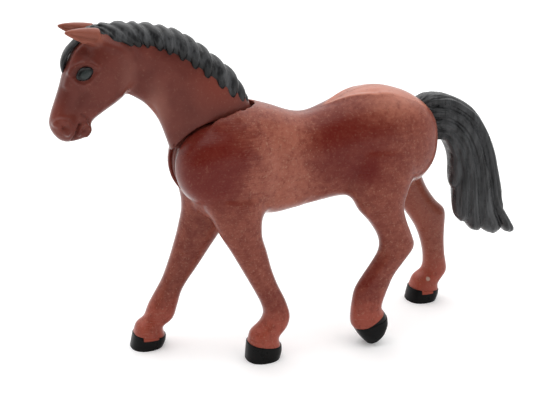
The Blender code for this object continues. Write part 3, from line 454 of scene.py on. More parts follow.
# Orange ears, partly painted light on their upper parts
EAR_HEIGHT = (0.1065, 0.0035)
EAR_END = (-0.0365, 0.0050)
FORELOCK_END = (-0.0410, 0.0020)
OUTER_SIDE = (0.0120, 0.0010)
FAR_SIDE = (0.0000, 0.0010)
# The waist's middle and half length, and the black wedge on the near hind heel: start, end,
# height at its start and slope
WAIST = (0.0200, 0.0175)
HEEL_WEDGE = ((0.0460, 0.0005), (0.0610, 0.0010), 0.00656, 0.52)

Leg = namedtuple("Leg", "shares hoof_shares anchor side track")
HIP = HIP_SHARE * BACK_LENGTH
LEGS = {
    "front_left": Leg(FORE_LEFT_SHARES, HOOF_FORE_LEFT_SHARES, 0, -1, FORE_TRACK),
    "front_right": Leg(FORE_RIGHT_SHARES, HOOF_FORE_RIGHT_SHARES, 0, 1, FORE_TRACK),
    "hind_left": Leg(HIND_LEFT_SHARES, HOOF_HIND_LEFT_SHARES, HIP, -1, HIND_TRACK),
    "hind_right": Leg(HIND_RIGHT_SHARES, HOOF_HIND_RIGHT_SHARES, HIP, 1, HIND_TRACK),
}


def between(rows, position):
    """Read a table of rows at a fractional place, on a smooth curve through the rows."""
    index = min(int(position), len(rows) - 2)
    t = position - index
    near, far = rows[index], rows[index + 1]
    before = rows[max(index - 1, 0)]
    after = rows[min(index + 2, len(rows) - 1)]
    values = []
    for a, b, c, d in zip(before, near, far, after):
        slope_b = (c - a) / 2
        slope_c = (d - b) / 2
        rise = c - b
        bend = 3 * rise - 2 * slope_b - slope_c
        twist = slope_b + slope_c - 2 * rise
        values.append(b + slope_b * t + bend * t ** 2 + twist * t ** 3)
    return values


def rounded(value, power):
    """A cosine or sine bent so that an oval becomes squarer as the power grows."""
    return math.copysign(abs(value) ** (2 / power), value)


def section(low_x, low_z, high_x, high_z, y, width):
    """An upright oval section: its middle and its two half axes."""
    low = Vector((low_x, y, low_z))
    high = Vector((high_x, y, high_z))
    return (*(low + high) / 2, *(high - low) / 2, 0, width / 2, 0)


def add_tube(mesh, rows, sides=36, steps=4, power=2.3):
    """Add a closed tube drawn through oval sections to a bmesh."""
    rings = (len(rows) - 1) * steps
    piece = bmesh.new()
    bmesh.ops.create_cone(piece, cap_ends=True, segments=sides, radius1=1, radius2=1, depth=1)
    upright = [edge for edge in piece.edges if edge.verts[0].co.z * edge.verts[1].co.z < 0]
    bmesh.ops.subdivide_edges(piece, edges=upright, cuts=rings - 1, use_grid_fill=True)
    for vert in piece.verts:
        angle = math.atan2(vert.co.y, vert.co.x)
        values = between(rows, (vert.co.z + 0.5) * (len(rows) - 1))
        middle, tall, wide = Vector(values[:3]), Vector(values[3:6]), Vector(values[6:])
        up = rounded(math.cos(angle), power)
        aside = rounded(math.sin(angle), power)
        vert.co = middle + tall * up + wide * aside
    bmesh.ops.recalc_face_normals(piece, faces=piece.faces)
    data = bpy.data.meshes.new("tube")
    piece.to_mesh(data)
    piece.free()
    mesh.from_mesh(data)
    bpy.data.meshes.remove(data)


def new_object(name, mesh):
    """Make an object from a bmesh and free the bmesh."""
    bmesh.ops.recalc_face_normals(mesh, faces=mesh.faces)
    data = bpy.data.meshes.new(name)
    mesh.to_mesh(data)
    mesh.free()
    item = bpy.data.objects.new(name, data)
    bpy.context.scene.collection.objects.link(item)
    return item


def bake(item):
    """Replace an object's mesh by the one that its modifiers make."""
    bpy.context.view_layer.update()
    graph = bpy.context.evaluated_depsgraph_get()
    data = bpy.data.meshes.new_from_object(item.evaluated_get(graph))
    item.modifiers.clear()
    item.data = data


def remould(item, voxel, smoothing):
    """Blend everything in an object into one even skin and soften it."""
    skin = item.modifiers.new("skin", "REMESH")
    skin.mode = "VOXEL"
    skin.voxel_size = voxel
    soften = item.modifiers.new("soften", "SMOOTH")
    soften.factor = 0.5
    soften.iterations = smoothing
    bake(item)


def combine(item, other, operation):
    """Join another object to a piece or cut it away, and remove that object."""
    change = item.modifiers.new("change", "BOOLEAN")
    change.operation = operation
    change.object = other
    change.solver = "EXACT"
    bake(item)
    bpy.data.objects.remove(other)


def across_pivot(reach, diameter):
    """Make a round rod along the pivot's axis."""
    mesh = bmesh.new()
    bmesh.ops.create_cone(
        mesh, cap_ends=True, segments=64, radius1=diameter / 2, radius2=diameter / 2,
        depth=2 * reach,
        matrix=Matrix.Translation(PIVOT_POINT) @ Matrix.Rotation(math.radians(-90), 4, "X"),
    )
    return new_object("rod", mesh)


def ring_part(inner, outer, half_width, start, end):
    """Make part of a flat ring about the pivot, from angle to angle."""
    mesh = bmesh.new()
    turn = Matrix.Rotation(-start, 3, "Y")
    profile = (
        (inner, -half_width), (outer, -half_width), (outer, half_width), (inner, half_width),
    )
    corners = [
        mesh.verts.new(PIVOT_POINT + turn @ Vector((radius, y, 0))) for radius, y in profile
    ]
    face = mesh.faces.new(corners)
    bmesh.ops.spin(
        mesh, geom=[face, *face.edges, *face.verts], cent=PIVOT_POINT, axis=(0, -1, 0),
        angle=end - start, steps=48, use_duplicate=False,
    )
    return new_object("ring_part", mesh)


def cut_by_plane(item, place, outward):
    """Cut away what lies beyond a plane and close the cut."""
    mesh = bmesh.new()
    mesh.from_mesh(item.data)
    cut = bmesh.ops.bisect_plane(
        mesh, geom=[*mesh.verts, *mesh.edges, *mesh.faces], dist=1e-6,
        plane_co=place, plane_no=outward, clear_outer=True,
    )
    rim = [part for part in cut["geom_cut"] if isinstance(part, bmesh.types.BMEdge)]
    bmesh.ops.triangle_fill(
        mesh, use_beauty=True, use_dissolve=False, edges=rim, normal=outward
    )
    mesh.to_mesh(item.data)
    mesh.free()


def corners_of(item):
    """The places and normals of a mesh's corners as arrays."""
    count = len(item.data.vertices)
    places = np.empty(count * 3)
    item.data.vertices.foreach_get("co", places)
    normals = np.array([corner.vector[:] for corner in item.data.vertex_normals])
    return places.reshape(-1, 3), normals


def move_corners(item, places):
    item.data.vertices.foreach_set("co", places.ravel())
    item.data.update()


def smooth_step(low, high, values):
    """Turn values into shares from 0 at low to 1 at high, with soft ends."""
    t = np.clip((values - low) / (high - low), 0, 1)
    return t * t * (3 - 2 * t)


def distance_to_line(x, z, points):
    """The distance from each (x, z) to a line through points, in the side view."""
    nearest = np.full(len(x), 1e3)
    for (x0, z0), (x1, z1) in zip(points, points[1:]):
        dx, dz = x1 - x0, z1 - z0
        t = np.clip(((x - x0) * dx + (z - z0) * dz) / (dx * dx + dz * dz), 0, 1)
        nearest = np.minimum(nearest, np.hypot(x - x0 - t * dx, z - z0 - t * dz))
    return nearest


def curve_through(points, steps=6):
    """Put more points between the points of a line, on a smooth curve."""
    rows = [tuple(point) for point in points]
    if len(rows) < 3:
        return rows
    count = (len(rows) - 1) * steps
    return [between(rows, (len(rows) - 1) * index / count) for index in range(count + 1)]


def soften_around(item, place, steps):
    """Smooth a piece round a place in the side view."""
    x, z, reach = (value / 1000 for value in place)
    places, _ = corners_of(item)
    away = np.hypot(places[:, 0] - x, places[:, 2] - z)
    weights = np.exp(-(away / reach) ** 4)
    group = item.vertex_groups.new(name="near_corner")
    for index in np.nonzero(weights > 0.02)[0]:
        group.add([int(index)], float(weights[index]), "REPLACE")
    soften = item.modifiers.new("soften", "SMOOTH")
    soften.factor = 0.5
    soften.iterations = steps
    soften.vertex_group = group.name
    bake(item)
    item.vertex_groups.clear()


def draw_lines(item, lines, place_of):
    """Raise ridges and press grooves along lines drawn on both sides of a piece."""
    places, normals = corners_of(item)
    x, z = places[:, 0], places[:, 2]
    facing = smooth_step(0.15, 0.55, np.abs(normals[:, 1]))
    move = np.zeros(len(x))
    for half_width, height, points in lines:
        line = curve_through([place_of(point) for point in points])
        away = distance_to_line(x, z, line) / (half_width / 1000)
        move += 2 * height / 1000 * np.exp(-away ** 2) * facing
    move_corners(item, places + normals * move[:, None])


def raise_back_ridge(item):
    """Raise a soft ridge along each side of the back."""
    places, normals = corners_of(item)
    x, y = places[:, 0], np.abs(places[:, 1])
    ridge = np.minimum((x - RIDGE_START) * RIDGE_SLOPE, RIDGE_REACH)
    away = (y - ridge) / 0.0010
    reach = smooth_step(0.034, 0.042, x) * (1 - smooth_step(0.054, 0.064, x))
    height = 0.00038 * np.exp(-away ** 2) * reach * smooth_step(0.3, 0.6, normals[:, 2])
    move_corners(item, places + normals * height[:, None])


def head_place(shares):
    point = head_point(shares)
    return point.x, point.z


def millimetre_place(point):
    return point[0] / 1000, point[1] / 1000


def trunk_rows():
    rows = []
    for along, top, belly, width, share in TRUNK_SHARES:
        x = along * BACK_LENGTH
        high = WITHERS_HEIGHT - top * TRUNK_DEPTH
        low = WITHERS_HEIGHT - belly * TRUNK_DEPTH
        rows.append(section(x, low, x, high, 0, width * share))
    return rows


def add_shoulders(mesh, gap=0):
    """Add the round shoulders about the pivot, with their surface moved out by a gap."""
    radius = SHOULDER_RADIUS + gap
    reach = SHOULDER_WIDTH / 2 + gap
    ball = bmesh.ops.create_uvsphere(mesh, u_segments=96, v_segments=48, radius=1)
    for vert in ball["verts"]:
        around = math.atan2(vert.co.y, vert.co.x)
        out = radius * rounded(math.hypot(vert.co.x, vert.co.y), SHOULDER_POWER)
        aside = reach * rounded(vert.co.z, SHOULDER_POWER)
        vert.co = (out * math.cos(around), -aside, PIVOT.z + out * math.sin(around))
    mesh.normal_update()


def shoulder_shape(gap):
    """The shoulders alone, moved out by a gap."""
    mesh = bmesh.new()
    add_shoulders(mesh, gap)
    return new_object("shoulder_shape", mesh)


def leg_rows(leg, shares, width):
    """Sections down a leg or a hoof, a little inside its outline."""
    rows = []
    for front_x, front_z, rear_x, rear_z, offset, share in shares:
        front = Vector((leg.anchor + front_x * LEG_LENGTH, 0, front_z * LEG_LENGTH))
        rear = Vector((leg.anchor + rear_x * LEG_LENGTH, 0, rear_z * LEG_LENGTH))
        trim = (rear - front) * (1 - LEG_OUTLINE_SHARE) / 2
        front, rear = front + trim, rear - trim
        y = leg.side * offset * leg.track / 2
        rows.append(section(front.x, front.z, rear.x, rear.z, y, share * width))
    return rows


def hoof_rows(leg):
    return leg_rows(leg, leg.hoof_shares, HOOF_WIDTH)


def neck_rows(gap=0):
    rows = []
    for low_x, low_z, high_x, high_z, size, share in NECK_SHARES:
        low = Vector((low_x, 0, low_z)) * size
        high = Vector((high_x, 0, high_z)) * size
        step = (high - low).normalized() * gap
        low, high = low - step, high + step
        rows.append(section(
            low.x, PIVOT.z + low.z, high.x, PIVOT.z + high.z, 0, share * NECK_WIDTH + 2 * gap
        ))
    return rows


def head_point(shares, y=0):
    """A point on the head, from the poll in lengths of the head."""
    poll = Vector((POLL_SHARES[0] * NECK_LENGTH, 0, PIVOT.z + POLL_SHARES[1] * NECK_LENGTH))
    return poll + Vector((shares[0] * HEAD_LENGTH, y, shares[1] * HEAD_LENGTH))


def head_rows():
    rows = []
    for face_x, face_z, jaw_x, jaw_z, width, share in HEAD_SHARES:
        face = head_point((face_x, face_z))
        jaw = head_point((jaw_x, jaw_z))
        rows.append(section(jaw.x, jaw.z, face.x, face.z, 0, width * share))
    return rows


def outline_rows(table, origin, length, width):
    """Sections from rows of a low point, a high point and a width, all as shares."""
    rows = []
    for low_x, low_z, high_x, high_z, share in table:
        rows.append(section(
            origin.x + low_x * length, origin.z + low_z * length,
            origin.x + high_x * length, origin.z + high_z * length, 0, share * width,
        ))
    return rows


def mane_rows():
    return outline_rows(MANE_SHARES, PIVOT_POINT, NECK_LENGTH, MANE_WIDTH)


def tail_rows():
    along, below = TAIL_ANCHOR_SHARES
    root = Vector((along * BACK_LENGTH, 0, WITHERS_HEIGHT - below * TRUNK_DEPTH))
    return outline_rows(TAIL_SHARES, root, TAIL_LENGTH, TAIL_WIDTH)


def add_ball(mesh, centre, length, size_shares):
    """Add an oval ball to a bmesh."""
    breadth, height = size_shares
    radii = Vector((1, breadth, height)) * length / 2
    matrix = Matrix.Translation(centre) @ Matrix.Diagonal((*radii, 1))
    bmesh.ops.create_uvsphere(mesh, u_segments=32, v_segments=20, radius=1, matrix=matrix)


def add_ear(mesh, side):
    """Add a pointed ear that leans forward."""
    root_x, root_z, apart = EAR_ROOT_SHARES
    lean_x, lean_y, lean_z = EAR_TIP_SHARES
    base = head_point((root_x, root_z), side * HEAD_WIDTH * apart)
    tip = base + Vector((lean_x, side * lean_y, lean_z)) * EAR_LENGTH
    rows = []
    for share, height, width in EAR_SHARES:
        centre = base.lerp(tip, share)
        half_height = height * EAR_LENGTH / 2
        rows.append(section(
            centre.x, centre.z - half_height, centre.x, centre.z + half_height,
            centre.y, width * EAR_WIDTH,
        ))
    add_tube(mesh, rows, sides=24)


def below_coronet(leg):
    """Make a block that holds everything under a hoof's top."""
    top = hoof_rows(leg)[0]
    backwards = Vector(top[3:6]).normalized()
    across_leg = Vector((0, 1, 0))
    axes = Matrix((backwards, across_leg, backwards.cross(across_leg))).transposed().to_4x4()
    drop = Matrix.Translation((0, 0, -HOOF_WIDTH))
    mesh = bmesh.new()
    bmesh.ops.create_cube(
        mesh, size=2 * HOOF_WIDTH, matrix=Matrix.Translation(top[:3]) @ axes @ drop
    )
    return new_object("below_coronet", mesh)


def slot_spaces():
    """The spaces for the neck at rest, for its nod round the shoulders and for its root."""
    mesh = bmesh.new()
    add_tube(mesh, neck_rows(REST_SPACE * NECK_GAP)[:ROOT_ROWS])
    rest_space = new_object("rest_space", mesh)
    combine(rest_space, shoulder_shape(0), "DIFFERENCE")
    nod_space = ring_part(
        SHOULDER_RADIUS + NECK_GAP / 2, SHOULDER_RADIUS + OVERRUN,
        NECK_WIDTH / 2 + 2 * SLOT_CLEARANCE, CROWN_ANGLE, LIP_ANGLE,
    )
    slit = ring_part(
        DISC_RADIUS / 2, SHOULDER_RADIUS + NECK_GAP, SLOT_HALF_WIDTH - FACE_STEP,
        HEEL_ANGLE, LIP_ANGLE,
    )
    root_space = across_pivot(SLOT_HALF_WIDTH, 2 * (DISC_RADIUS + SLOT_CLEARANCE))
    return rest_space, nod_space, slit, root_space


def seat(item, body, slot, material, *nodes):
    """Put a finished piece into the frame, with its material, body and nodes."""
    item.data.transform(Matrix.Translation(TO_FRAME))
    item.data.name = item.name
    item.data.materials.clear()
    item.data.materials.append(material)
    item.data.shade_smooth()
    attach(item, body)
    if nodes:
        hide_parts(*nodes)


def seat_halves(whole, body, prefix, material):
    """Part a piece at the seam and put both halves in the place of their nodes."""
    for side, name in SIDES:
        piece = bpy.data.objects.new(f"{whole.name}_{name}", whole.data.copy())
        bpy.context.scene.collection.objects.link(piece)
        cut_by_plane(piece, (0, side * SEAM_GAP / 2, 0), (0, -side, 0))
        node = f"{prefix}_{name}"
        seat(piece, body, node, material, node)
    bpy.data.objects.remove(whole)


class Value:
    """A number socket that takes part in sums."""

    def __init__(self, nodes, socket):
        self.nodes = nodes
        self.socket = socket

    def maths(self, operation, *terms):
        return self.nodes.node("ShaderNodeMath", {"operation": operation}, dict(enumerate(terms)))

    def __add__(self, other):
        return self.maths("ADD", self, other)

    __radd__ = __add__

    def __mul__(self, other):
        return self.maths("MULTIPLY", self, other)

    __rmul__ = __mul__

    def __sub__(self, other):
        return self.maths("SUBTRACT", self, other)

    def __rsub__(self, other):
        return self.maths("SUBTRACT", other, self)

    def __truediv__(self, other):
        return self.maths("DIVIDE", self, other)

    def __pow__(self, other):
        return self.maths("POWER", self, other)

    def size(self):
        return self.maths("ABSOLUTE", self)

    def least(self, other):
        return self.maths("MINIMUM", self, other)

    def limited(self, low=0, high=1):
        """A soft step from 0 at low to 1 at high."""
        return self.nodes.node(
            "ShaderNodeMapRange", {"interpolation_type": "SMOOTHSTEP"},
            {"Value": self, "From Min": low, "From Max": high},
        )

    def beyond(self, step):
        """A soft step that starts at a value and is full a distance on."""
        start, distance = step
        return ((self - start) / distance).limited()


class Nodes:
    """A tree of shader nodes that are added one by one."""

    def __init__(self, tree):
        self.tree = tree

    def node(self, kind, settings=None, inputs=None, output=0):
        item = self.tree.nodes.new(kind)
        for key, value in (settings or {}).items():
            setattr(item, key, value)
        for key, value in (inputs or {}).items():
            self.feed(item.inputs[key], value)
        return Value(self, item.outputs[output])

    def feed(self, socket, value):
        if isinstance(value, Value):
            self.tree.links.new(value.socket, socket)
        else:
            socket.default_value = value


class Paint(Nodes):
    """A material and its nodes."""

    def __init__(self, name, **constants):
        self.material = bpy.data.materials.new(name)
        self.material.use_nodes = True
        super().__init__(self.material.node_tree)
        self.shader = self.tree.nodes["Principled BSDF"]
        self.use(**constants)

    def use(self, **inputs):
        """Set or link the shader's inputs."""
        for socket, value in inputs.items():
            self.feed(self.shader.inputs[socket.replace("_", " ")], value)
        return self.material

    def place(self):
        """The position on the piece in metres, from the frame's origin."""
        return self.node("ShaderNodeTexCoord", output="Object")

    def horse_axes(self, place):
        """The X from under the pivot, Y and Z of a position."""
        split = self.node("ShaderNodeSeparateXYZ", None, {0: place}).socket.node
        x, y, z = (Value(self, socket) for socket in split.outputs)
        return x - TO_FRAME.x, y, z

    def noise(self, place, scale, detail=3, roughness=0.5):
        """Noise with one scale, or with a scale for each axis."""
        if isinstance(scale, tuple):
            settings = {"operation": "MULTIPLY"}
            place = self.node("ShaderNodeVectorMath", settings, {0: place, 1: scale})
            scale = 1
        inputs = {"Vector": place, "Scale": scale, "Detail": detail, "Roughness": roughness}
        return self.node("ShaderNodeTexNoise", None, inputs)

    def mix(self, share, first, second):
        """Mix two colours."""
        settings = {"data_type": "RGBA", "clamp_factor": True}
        return self.node("ShaderNodeMix", settings, {0: share, 6: first, 7: second}, 2)

    def rim_gloss(self, weight):
        """Gloss that grows where the surface turns away from the viewer."""
        facing = self.node("ShaderNodeLayerWeight", None, {"Blend": 0.5}, output="Facing")
        return facing ** 3 * weight

    def bump(self, height, strength, distance):
        inputs = {"Height": height, "Strength": strength, "Distance": distance}
        return self.node("ShaderNodeBump", None, inputs)


def far_from(along, up):
    """The distance from a middle, from the distances along two axes."""
    return (along * along + up * up) ** 0.5


def patches(rows, x, z):
    """Add up soft ovals in the side view: full inside their cores and nothing outside."""
    total = 0
    for share, middle, radii, core in rows:
        away = far_from((x - middle[0]) / radii[0], (z - middle[1]) / radii[1])
        total = total + share * (1 - away.limited(core, 1))
    return total


def coat_material(name, colours, roughness):
    """Plastic coloured as a horse's coat: darker on the thick muscles and paler at the waist,
    both partly painted shade and light, and paler on top of the back and rump with painted light.
    """
    paint = Paint(
        name, Specular_IOR_Level=0.19, Coat_Roughness=0.2, Sheen_Weight=0.03,
        Sheen_Roughness=0.35, Sheen_Tint=(1.0, 0.80, 0.74, 1),
    )
    place = paint.place()
    x, y, z = paint.horse_axes(place)
    streak = paint.noise(place, (110, 400, 2600), 4, 0.65)
    speckle = paint.noise(place, 1350, 3, 0.70)
    flecks = paint.noise(place, 620, 4, 0.68)
    cloud = paint.noise(place, 120, 4, 0.6)
    blotch = paint.noise(place, (300, 300, 420), 3, 0.6)
    mottle = (
        (cloud - 0.5) * 1.2 + (flecks - 0.5) * 2.6 + (streak - 0.5) * 0.7 + (blotch - 0.5) * 2.2
    )
    moved = x + (streak - 0.5) * 0.009 + (cloud - 0.5) * 0.014
    # Painted shade, partly sprayed shading, on the muscles and near cannons where they face the
    # camera
    dark = patches(MUSCLE_SHADE_PATCHES, moved, z) + patches(LEG_SHADE_PATCHES, x, z)

    # Paler band at the waist, partly painted light where the flank behind the shoulder turns to
    # the side light
    middle, reach = WAIST
    waist = 1 - ((moved - middle).size() / reach).limited(0.15, 1)
    waist = waist * (1 - 0.5 * z.beyond(WAIST_TOP)) * z.beyond(WAIST_HEIGHT)
    # Painted light: paler top of the back and rump where the light falls from above, with a
    # painted highlight along each ridge of the back
    ridge = ((x - RIDGE_START) * RIDGE_SLOPE).least(RIDGE_REACH)
    high = z.beyond(BACK_LIGHT_HEIGHT) * x.beyond(BACK_LIGHT_START)
    back = (1 - ((y.size() - ridge) / 0.0007).limited(-1, 1)) * high
    edge = (1 - ((y.size() - ridge).size() / 0.0008).limited()) * high
    rump = z.beyond(RUMP_LIGHT_HEIGHT) * x.beyond(RUMP_LIGHT_START)
    pale = (back * 0.9 + rump * 0.75 + edge * 0.8) * (0.85 + mottle * 0.4)
    far_leg = x.beyond(FAR_LEG_START) * (1 - z.beyond(FAR_LEG_TOP))
    foot = (1 - z.beyond(PASTERN_TOP)) * (0.85 + mottle * 0.5)
    pale_fleck = ((speckle - 0.53) * 5.5).limited() * (0.34 + waist * 0.26 - dark * 0.20)
    dark_fleck = ((0.46 - flecks) * 6.0).limited() * 0.26
    gate = patches(GATE_PATCHES, x, z) * (1 - y.beyond(OUTER_SIDE))
    near = 1 - y.beyond(FAR_SIDE)
    start, end, height, slope = HEEL_WEDGE
    heel = ((height + (x - start[0]) * slope - z) / 0.0003).limited()
    heel = heel * x.beyond(start) * near * (1 - x.beyond(end))
    # Painted shade in the slot round the neck's root, on the near side
    slit = 1 - ((far_from(x, z - PIVOT.z) - ROOT_RADIUS) / 0.0004).limited()
    slit = slit * near * ((y + 0.0046) / 0.0003).limited()

    colour = paint.mix(waist * 0.74 + mottle * 0.46 + 0.12, colours.coat, colours.waist)
    muscle_shade_and_mottle = dark * (1 - back) * 0.92 + mottle * -0.26 * (1 - dark * 0.6)
    for share, layer in (
        (muscle_shade_and_mottle, colours.dark), (pale, colours.back), (far_leg * 0.35, colours.waist),
        (foot, colours.foot), (pale_fleck, colours.fleck), (dark_fleck, colours.dark),
        (gate, colours.gate), (heel, colours.hoof), (slit * 0.85, colours.slit),
    ):
        colour = paint.mix(share, colour, layer)
    return paint.use(
        Base_Color=colour, Coat_Weight=paint.rim_gloss(0.8),
        Roughness=roughness + (cloud - 0.5) * 0.14 + (streak - 0.5) * 0.12,
        Normal=paint.bump(speckle * 0.5 + streak * 0.5, 0.30, 0.00007),
    )


def neck_material(name, colours, roughness):
    """The duller plastic of head and neck, with a painted sheen on the throat's edges and orange
    ears that are partly painted light.
    """
    paint = Paint(
        name, Specular_IOR_Level=0.17, Coat_Roughness=0.25, Sheen_Weight=0.05,
        Sheen_Roughness=0.38, Sheen_Tint=(1.0, 0.84, 0.78, 1),
    )
    place = paint.place()
    x, y, z = paint.horse_axes(place)
    cloud = paint.noise(place, 130, 4, 0.55)
    speckle = paint.noise(place, 1200, 3, 0.65)
    streak = paint.noise(place, (160, 500, 520), 3, 0.6)
    # Orange ears, partly painted light on their upper parts
    ear = z.beyond(EAR_HEIGHT) * (1 - x.beyond(EAR_END)) * (0.5 + cloud * 0.5)
    fleck = ((speckle - 0.54) * 3.6).limited() * 0.20
    colour = paint.mix((cloud - 0.5) * 2.2 + 0.40, colours.neck, colours.neck_pale)
    for share, layer in (
        (patches(NAPE_PATCHES, x, z), colours.nape),
        # painted sheen on the throat's edges
        (patches(THROAT_SHEEN_PATCHES, x, z), colours.throat_sheen),
        (ear, colours.ear), (fleck, colours.fleck),
    ):
        colour = paint.mix(share, colour, layer)
    return paint.use(
        Base_Color=colour, Coat_Weight=paint.rim_gloss(0.6),
        Roughness=roughness + (cloud - 0.5) * 0.14,
        Normal=paint.bump(speckle * 0.6 + streak * 0.4, 0.3, 0.00007),
    )


def hair_material(name, colours, crest=None):
    """Charcoal plastic with fine paler lines; on the mane, a painted highlight in a band under a
    round crest and painted shade below it.
    """
    paint = Paint(name, Specular_IOR_Level=0.24)
    place = paint.place()
    lines = paint.noise(place, (420, 420, 90), 4, 0.6)
    cloud = paint.noise(place, 140, 3, 0.5)
    paleness = (lines * 0.7 + cloud * 0.3).limited(0.3, 0.72)
    if crest:
        x, _, z = paint.horse_axes(place)
        depth = crest[2] - far_from(x - crest[0], z - crest[1])
        behind = x.beyond(FORELOCK_END)
        # Painted shade on the mane's lower part, and a painted highlight in a band under the
        # crest
        low = ((depth - 0.0040) / 0.0020).limited() * behind
        band = (1 - ((depth - 0.0030).size() / 0.0022).limited(0.1, 1)) * behind
        paleness = paleness * (1 - behind * 0.40 - low * 0.55) + band * ((lines - 0.39) * 4.0).limited()
    return paint.use(
        Base_Color=paint.mix(paleness, colours.hair, colours.hair_pale_and_highlight),
        Roughness=0.28 + (cloud - 0.5) * 0.2 + (lines - 0.5) * 0.12,
        Normal=paint.bump(lines, 0.5, 0.00012),
    )


def hoof_material(name, colours, tongue):
    """Black hoof, with a brown tongue left at the heel of the far hooves."""
    paint = Paint(name, Specular_IOR_Level=0.12)
    place = paint.place()
    rings = paint.noise(place, (120, 120, 1500), 3, 0.5)
    cloud = paint.noise(place, 260, 4, 0.6)
    paleness = (cloud * 0.6 + rings * 0.4).limited(0.35, 0.9)
    colour = paint.mix(paleness, colours.hoof, colours.hair)
    if tongue:
        x, y, z = paint.horse_axes(place)
        start, end, low = tongue
        brown = 1 - (((x - (start + end) / 2).size() - (end - start) / 2) / 0.0003).limited()
        brown = brown * ((z - low) / 0.0004).limited() * (1 - y.beyond(OUTER_SIDE))
        colour = paint.mix(brown, colour, colours.foot)
    return paint.use(
        Base_Color=colour, Roughness=0.30 + (cloud - 0.5) * 0.25,
        Normal=paint.bump(rings, 0.4, 0.00012),
    )


def eye_material(name, colours):
    """A dark eye with a grey-green iris."""
    paint = Paint(name, Specular_IOR_Level=0.25)
    place = paint.place()
    x, _, z = paint.horse_axes(place)
    centre = head_point(EYE_SHARES)
    along, up = x - centre.x, z - centre.z
    turn, rise = math.cos(EYE_TILT), math.sin(EYE_TILT)
    away = far_from(
        (along * turn - up * rise) / IRIS_RADII[0], (along * rise + up * turn) / IRIS_RADII[1]
    )
    cloud = paint.noise(place, 700, 2, 0.5)
    iris = (1 - away.limited(0.50, 0.72)) * (0.7 + cloud * 0.5)
    return paint.use(
        Base_Color=paint.mix(iris, colours.eye, colours.eye_pale),
        Roughness=0.22 + cloud * 0.1,
    )


def colour_property(name, description, value):
    return bpy.props.FloatVectorProperty(
        name=name, description=description, default=(*value, 1), size=4,
        subtype="COLOR", min=0, max=1,
    )


def number_property(name, description, default, **limits):
    return bpy.props.FloatProperty(
        name=name, description=description, default=default, **limits
    )


class HorseColours(bpy.types.PropertyGroup):
    """Colours of the plastics."""

    coat: colour_property("Coat", "Body and legs", (0.210, 0.047, 0.030))
    # Paler band at the waist, partly painted light; also laid lightly on the far hind leg
    waist: colour_property("Waist", "Paler band behind the shoulder", (0.365, 0.111, 0.071))
    # Painted shade on shoulder, haunch and cannons, partly their sprayed shading; also the colour
    # of the dark flecks
    dark: colour_property("Muscles", "Shoulder and haunch", (0.138, 0.011, 0.007))
    # Painted light on the top of the back and rump, with a painted highlight along the back's
    # ridges
    back: colour_property("Back", "Top of back and rump", (0.480, 0.168, 0.108))
    foot: colour_property("Pasterns", "Legs just above the hooves", (0.365, 0.078, 0.050))
    gate: colour_property("Gate mark", "Pale mark on a hind leg", (0.560, 0.390, 0.320))
    # Painted shade in the slit between the shoulders
    slit: colour_property("Slit", "Shaded slit between the shoulders", (0.020, 0.004, 0.003))
    fleck: colour_property("Flecks", "Pale specks all over the coat", (0.470, 0.250, 0.165))
    neck: colour_property("Neck", "Head and neck", (0.120, 0.025, 0.018))
    neck_pale: colour_property("Neck, pale", "Clouds on head and neck", (0.182, 0.046, 0.033))
    # Painted sheen on the throat's edges
    throat_sheen: colour_property("Neck, edges", "Throat and cheek", (0.290, 0.110, 0.082))
    nape: colour_property("Nape", "Redder neck below the mane", (0.235, 0.050, 0.032))
    # Orange of the ears, partly painted light on their upper parts
    ear: colour_property("Ears", "Thin plastic of the ears", (0.330, 0.105, 0.068))
    hair: colour_property("Hair", "Mane and tail", (0.007, 0.007, 0.0075))
    # Paler lines of mane and tail; on the mane also the painted highlight band under the crest
    hair_pale_and_highlight: colour_property("Hair, worn", "Worn lines of mane and tail", (0.075, 0.077, 0.080))
    hoof: colour_property("Hooves", "Hoof walls", (0.004, 0.004, 0.004))
    eye: colour_property("Eye", "Rim of the eye", (0.003, 0.003, 0.003))
    eye_pale: colour_property("Eye, pale", "Iris", (0.034, 0.041, 0.040))


class HorseSizes(bpy.types.PropertyGroup):
    """Fineness and finish of the pieces."""

    body_fineness: number_property(
        "Body fineness", "Spacing of the body's faces", 0.00045,
        min=0.0003, unit="LENGTH", precision=5,
    )
    head_fineness: number_property(
        "Head fineness", "Spacing of the faces of head and neck", 0.00030,
        min=0.0002, unit="LENGTH", precision=5,
    )
    hair_fineness: number_property(
        "Hair fineness", "Spacing of the faces of mane and tail", 0.00026,
        min=0.0002, unit="LENGTH", precision=5,
    )
    body_roughness: number_property(
        "Body roughness", "Roughness of the body's plastic", 0.30,
        min=0, max=1, subtype="FACTOR",
    )
    neck_roughness: number_property(
        "Neck roughness", "Roughness of the plastic of head and neck", 0.33,
        min=0, max=1, subtype="FACTOR",
    )


class HorseStage(bpy.types.PropertyGroup):
    """Camera, lights and floor."""

    azimuth: number_property(
        "Azimuth", "Turn of the camera about the horse", math.radians(-20), unit="ROTATION"
    )
    elevation: number_property(
        "Elevation", "Height of the camera over the horizon", math.radians(19.6),
        unit="ROTATION",
    )
    distance: number_property(
        "Distance", "From the camera to the point that it looks at", 0.3338,
        min=0.01, unit="LENGTH",
    )
    target: bpy.props.FloatVectorProperty(
        name="Target", description="Point that the camera looks at, from under the pivot",
        default=(0.0205, 0, 0.049), size=3, subtype="TRANSLATION", unit="LENGTH",
    )
    lens: number_property(
        "Lens", "Focal length in millimetres on a 36 mm frame", 36 * 1000 / 550, min=1
    )
    key: number_property("Top light", "Strength of the wide light from above", 2.2, min=0)
    surround: number_property(
        "Surround", "Brightness of the tent around the horse", 0.80, min=0
    )
    front: number_property("Front", "Brightness of the tent on the camera's side", 0.10, min=0)


